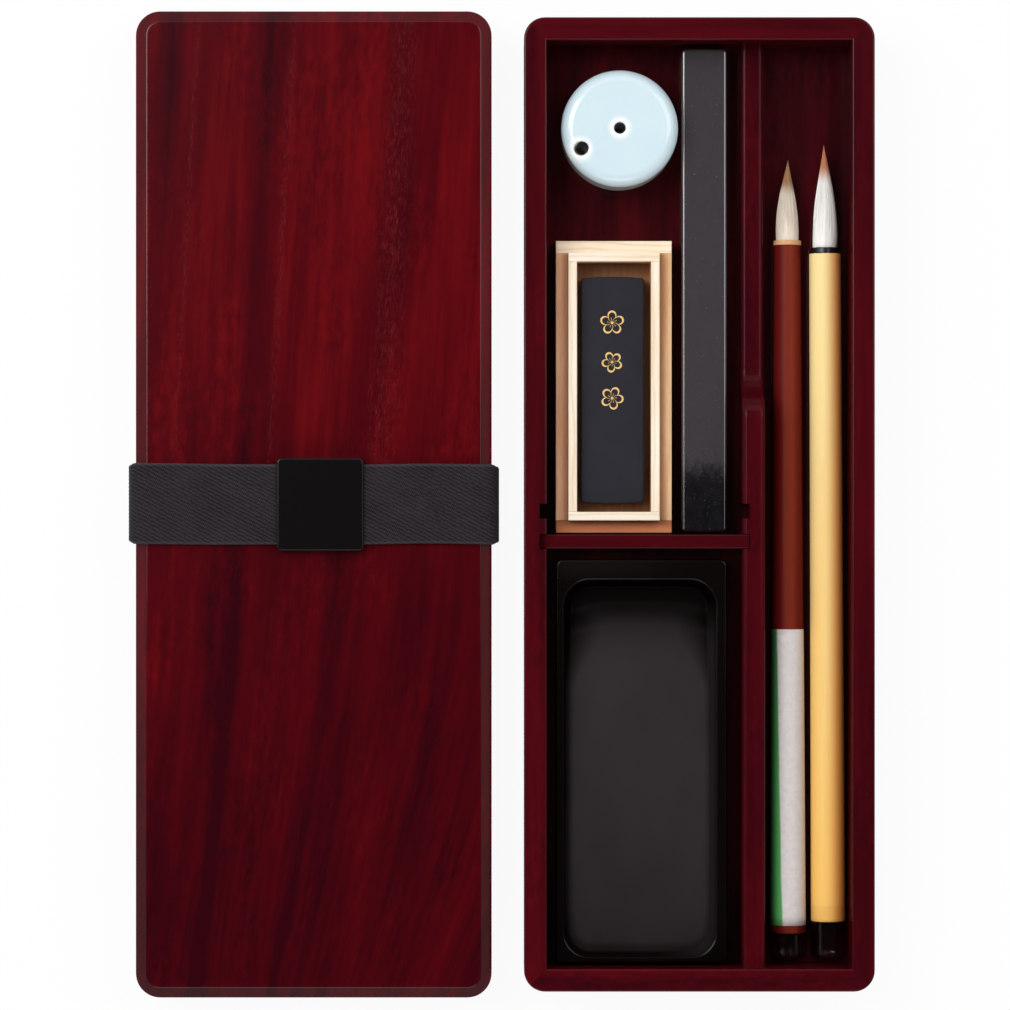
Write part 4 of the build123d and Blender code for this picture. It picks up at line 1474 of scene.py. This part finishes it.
@dataclass
class Label:
    """The paper label, wrapped once round the brown handle, its ends lapped."""

    thickness: float = 0.11
    lap: float = 0.05
    seam: float = 0.75 * TURN
    tail_radius: float = 5.6
    head_radius: float = 4.2
    around: int = 96
    rows: int = 40

    def build(self) -> None:
        """A sheet round a cone: the outer face, then back along the inner face, shut at both ends."""
        low, high = extent("brown_brush_label")
        handle_low, handle_high = extent("brown_brush_handle")
        axis = brush_axis("brown_brush")
        length = (high[1] - low[1]) / axis.along[1]
        start = (low[1] - axis.base[1]) / axis.along[1]
        slope = (self.head_radius - self.tail_radius) / (handle_high[1] - handle_low[1])
        share = np.linspace(0, 1, self.rows)
        outer = (high[0] - low[0]) / 2 + slope * length * share
        profile = np.concatenate([outer, outer[::-1] - self.thickness])
        place = np.concatenate([share, share[::-1]])
        turned = np.linspace(0, 1, self.around + 1)
        radius = profile[:, None] - self.lap * (1 - turned[:-1])
        points = axis.points(start + length * place[:, None], radius, self.seam + TURN * turned[None, :-1])
        uv = grid_map(np.append(place, place[0]), turned)[..., ::-1]
        piece = closed_mesh("brush_label_paper", points, Paper().make(), uv, loop_rows=True)
        settle(piece, "brown_brush", "label_paper", "brown_brush_label")


# --------------------------------------------------------------------- studio


@dataclass
class Studio:
    """Pale table, soft lights and the camera straight above.

    A lamp is its name, its middle, its width and height in metres and its power in watts.
    """

    eye: tuple = (-59.85, -0.17, 1317.0)
    rim: float = 27.0
    view_width: float = 310.8
    sensor: float = 36.0
    farthest: float = 20.0
    table: float = 3.0
    table_paint: tuple = (0.86, 0.86, 0.86, 1)
    table_glow: float = 0.93
    white: tuple = (1, 1, 1, 1)
    horizon: tuple = (0.60, 0.60, 0.61, 1)
    overhead: tuple = (0.03, 0.03, 0.032, 1)
    sky_turn: tuple = (0.45, 0.85)
    lamps: tuple = (
        ("key_left", (-0.80, 0.42, 1.25), (0.7, 1.0), 13.2),
        ("key_right", (0.78, 0.42, 1.20), (0.8, 1.0), 6.2),
        ("fill_front", (-0.06, -1.15, 0.90), (1.2, 0.6), 4.4),
        ("back", (-0.06, 1.00, 1.15), (1.6, 0.6), 3.6),
    )

    def camera(self) -> None:
        """A camera that looks straight down and takes in the view's width at the height of the rim."""
        lens = bpy.data.cameras.new("camera")
        lens.sensor_width = self.sensor
        lens.lens = self.sensor * (self.eye[2] - self.rim) / self.view_width
        lens.clip_end = self.farthest
        camera = stand("camera", lens)
        camera.location = Vector(self.eye) * MM
        bpy.context.scene.camera = camera

    def light(self, name: str, place: tuple, size: tuple, power: float) -> None:
        """A soft box that faces the object.

        Args:
            name: its name.
            place: its middle, in metres.
            size: its width and height, in metres.
            power: in watts.
        """
        box = bpy.data.lights.new(name, "AREA")
        box.shape = "RECTANGLE"
        box.size, box.size_y = size
        box.energy = power
        lamp = stand(name, box)
        lamp.location = place
        target = Vector((self.eye[0] * MM, 0, 0))
        lamp.rotation_euler = (target - Vector(place)).to_track_quat("-Z", "Y").to_euler()

    def surroundings(self) -> None:
        """White to the camera; as light, bright at the horizon and dim overhead."""
        graph = Graph("studio", world=True)
        bpy.context.scene.world = graph.owner
        height = graph.parts(graph.node("ShaderNodeTexCoord", output=0))[2]
        dim = graph.blend(height.step(*self.sky_turn), self.horizon, self.overhead)
        colour = graph.blend(graph.node("ShaderNodeLightPath", output=0), dim, self.white)
        glow = graph.node("ShaderNodeBackground", inputs={"Color": colour, "Strength": 1.0})
        graph.node("ShaderNodeOutputWorld", inputs={"Surface": glow})

    def floor(self) -> None:
        """A wide pale table top that shows nearly white and keeps the object's shadow."""
        half = self.table / 2
        mesh = bpy.data.meshes.new("table_top")
        corners = [(-half, -half, 0), (half, -half, 0), (half, half, 0), (-half, half, 0)]
        mesh.from_pydata(corners, [], [(0, 1, 2, 3)])
        graph = Graph("table_top")
        rays = graph.node("ShaderNodeLightPath").socket.node.outputs
        seen = sum(Value(graph, rays[f"Is {kind} Ray"]) for kind in ("Camera", "Glossy", "Transmission"))
        glow = graph.node("ShaderNodeEmission", inputs={"Color": self.white, "Strength": 1.0})
        matt = graph.node("ShaderNodeBsdfDiffuse", inputs={"Color": self.table_paint})
        mixed = {0: seen.step(0, 1) * self.table_glow, 1: matt, 2: glow}
        mesh.materials.append(graph.end(graph.node("ShaderNodeMixShader", inputs=mixed)))
        top = stand("table_top", mesh)

    def build(self) -> None:
        """Set the view, the camera, the lights and the table."""
        bpy.context.scene.view_settings.view_transform = "Standard"
        self.camera()
        self.surroundings()
        self.floor()
        for lamp in self.lamps:
            self.light(*lamp)


def main() -> None:
    """Build every sub-assembly in order."""
    logging.basicConfig(level=logging.INFO, format="%(message)s")
    brown = Brush(
        "brown",
        Handle("brown_lacquered_handle", paint(112, 36, 20), paint(122, 43, 25), paint(74, 18, 12),
               paint(92, 15, 16), ((28.2, -142.6), (28.2, 80.8)), 0.35, 0.9, 0.03, painted_crest_and_sides=True),
        Ring("tan_ring", paint(196, 146, 98), paint(226, 178, 126), 0.45),
        Hair("cream_hair", paint(234, 221, 206), paint(208, 192, 176), paint(156, 108, 60), 0.54),
        tuft_length=25.4,
    )
    bamboo = Brush(
        "bamboo",
        Handle("polished_bamboo", paint(255, 201, 109), paint(255, 228, 160), paint(240, 170, 90),
               paint(255, 158, 72), ((40.9, -142.6), (39.95, 78.1)), 0.24, 0.8, 0.10),
        Ring("black_ring", paint(14, 12, 12), paint(26, 23, 23), 0.22),
        Hair("white_hair", paint(255, 254, 250), paint(252, 243, 234), paint(200, 118, 60), 0.60),
        tuft_length=32.4,
        seed=19,
    )
    for part in (Studio(), Tray(), Lid(), Band(), Inkstone(), InkBox(), Desk(), brown, bamboo, Label()):
        part.build()


if __name__ == "__main__":
    main()
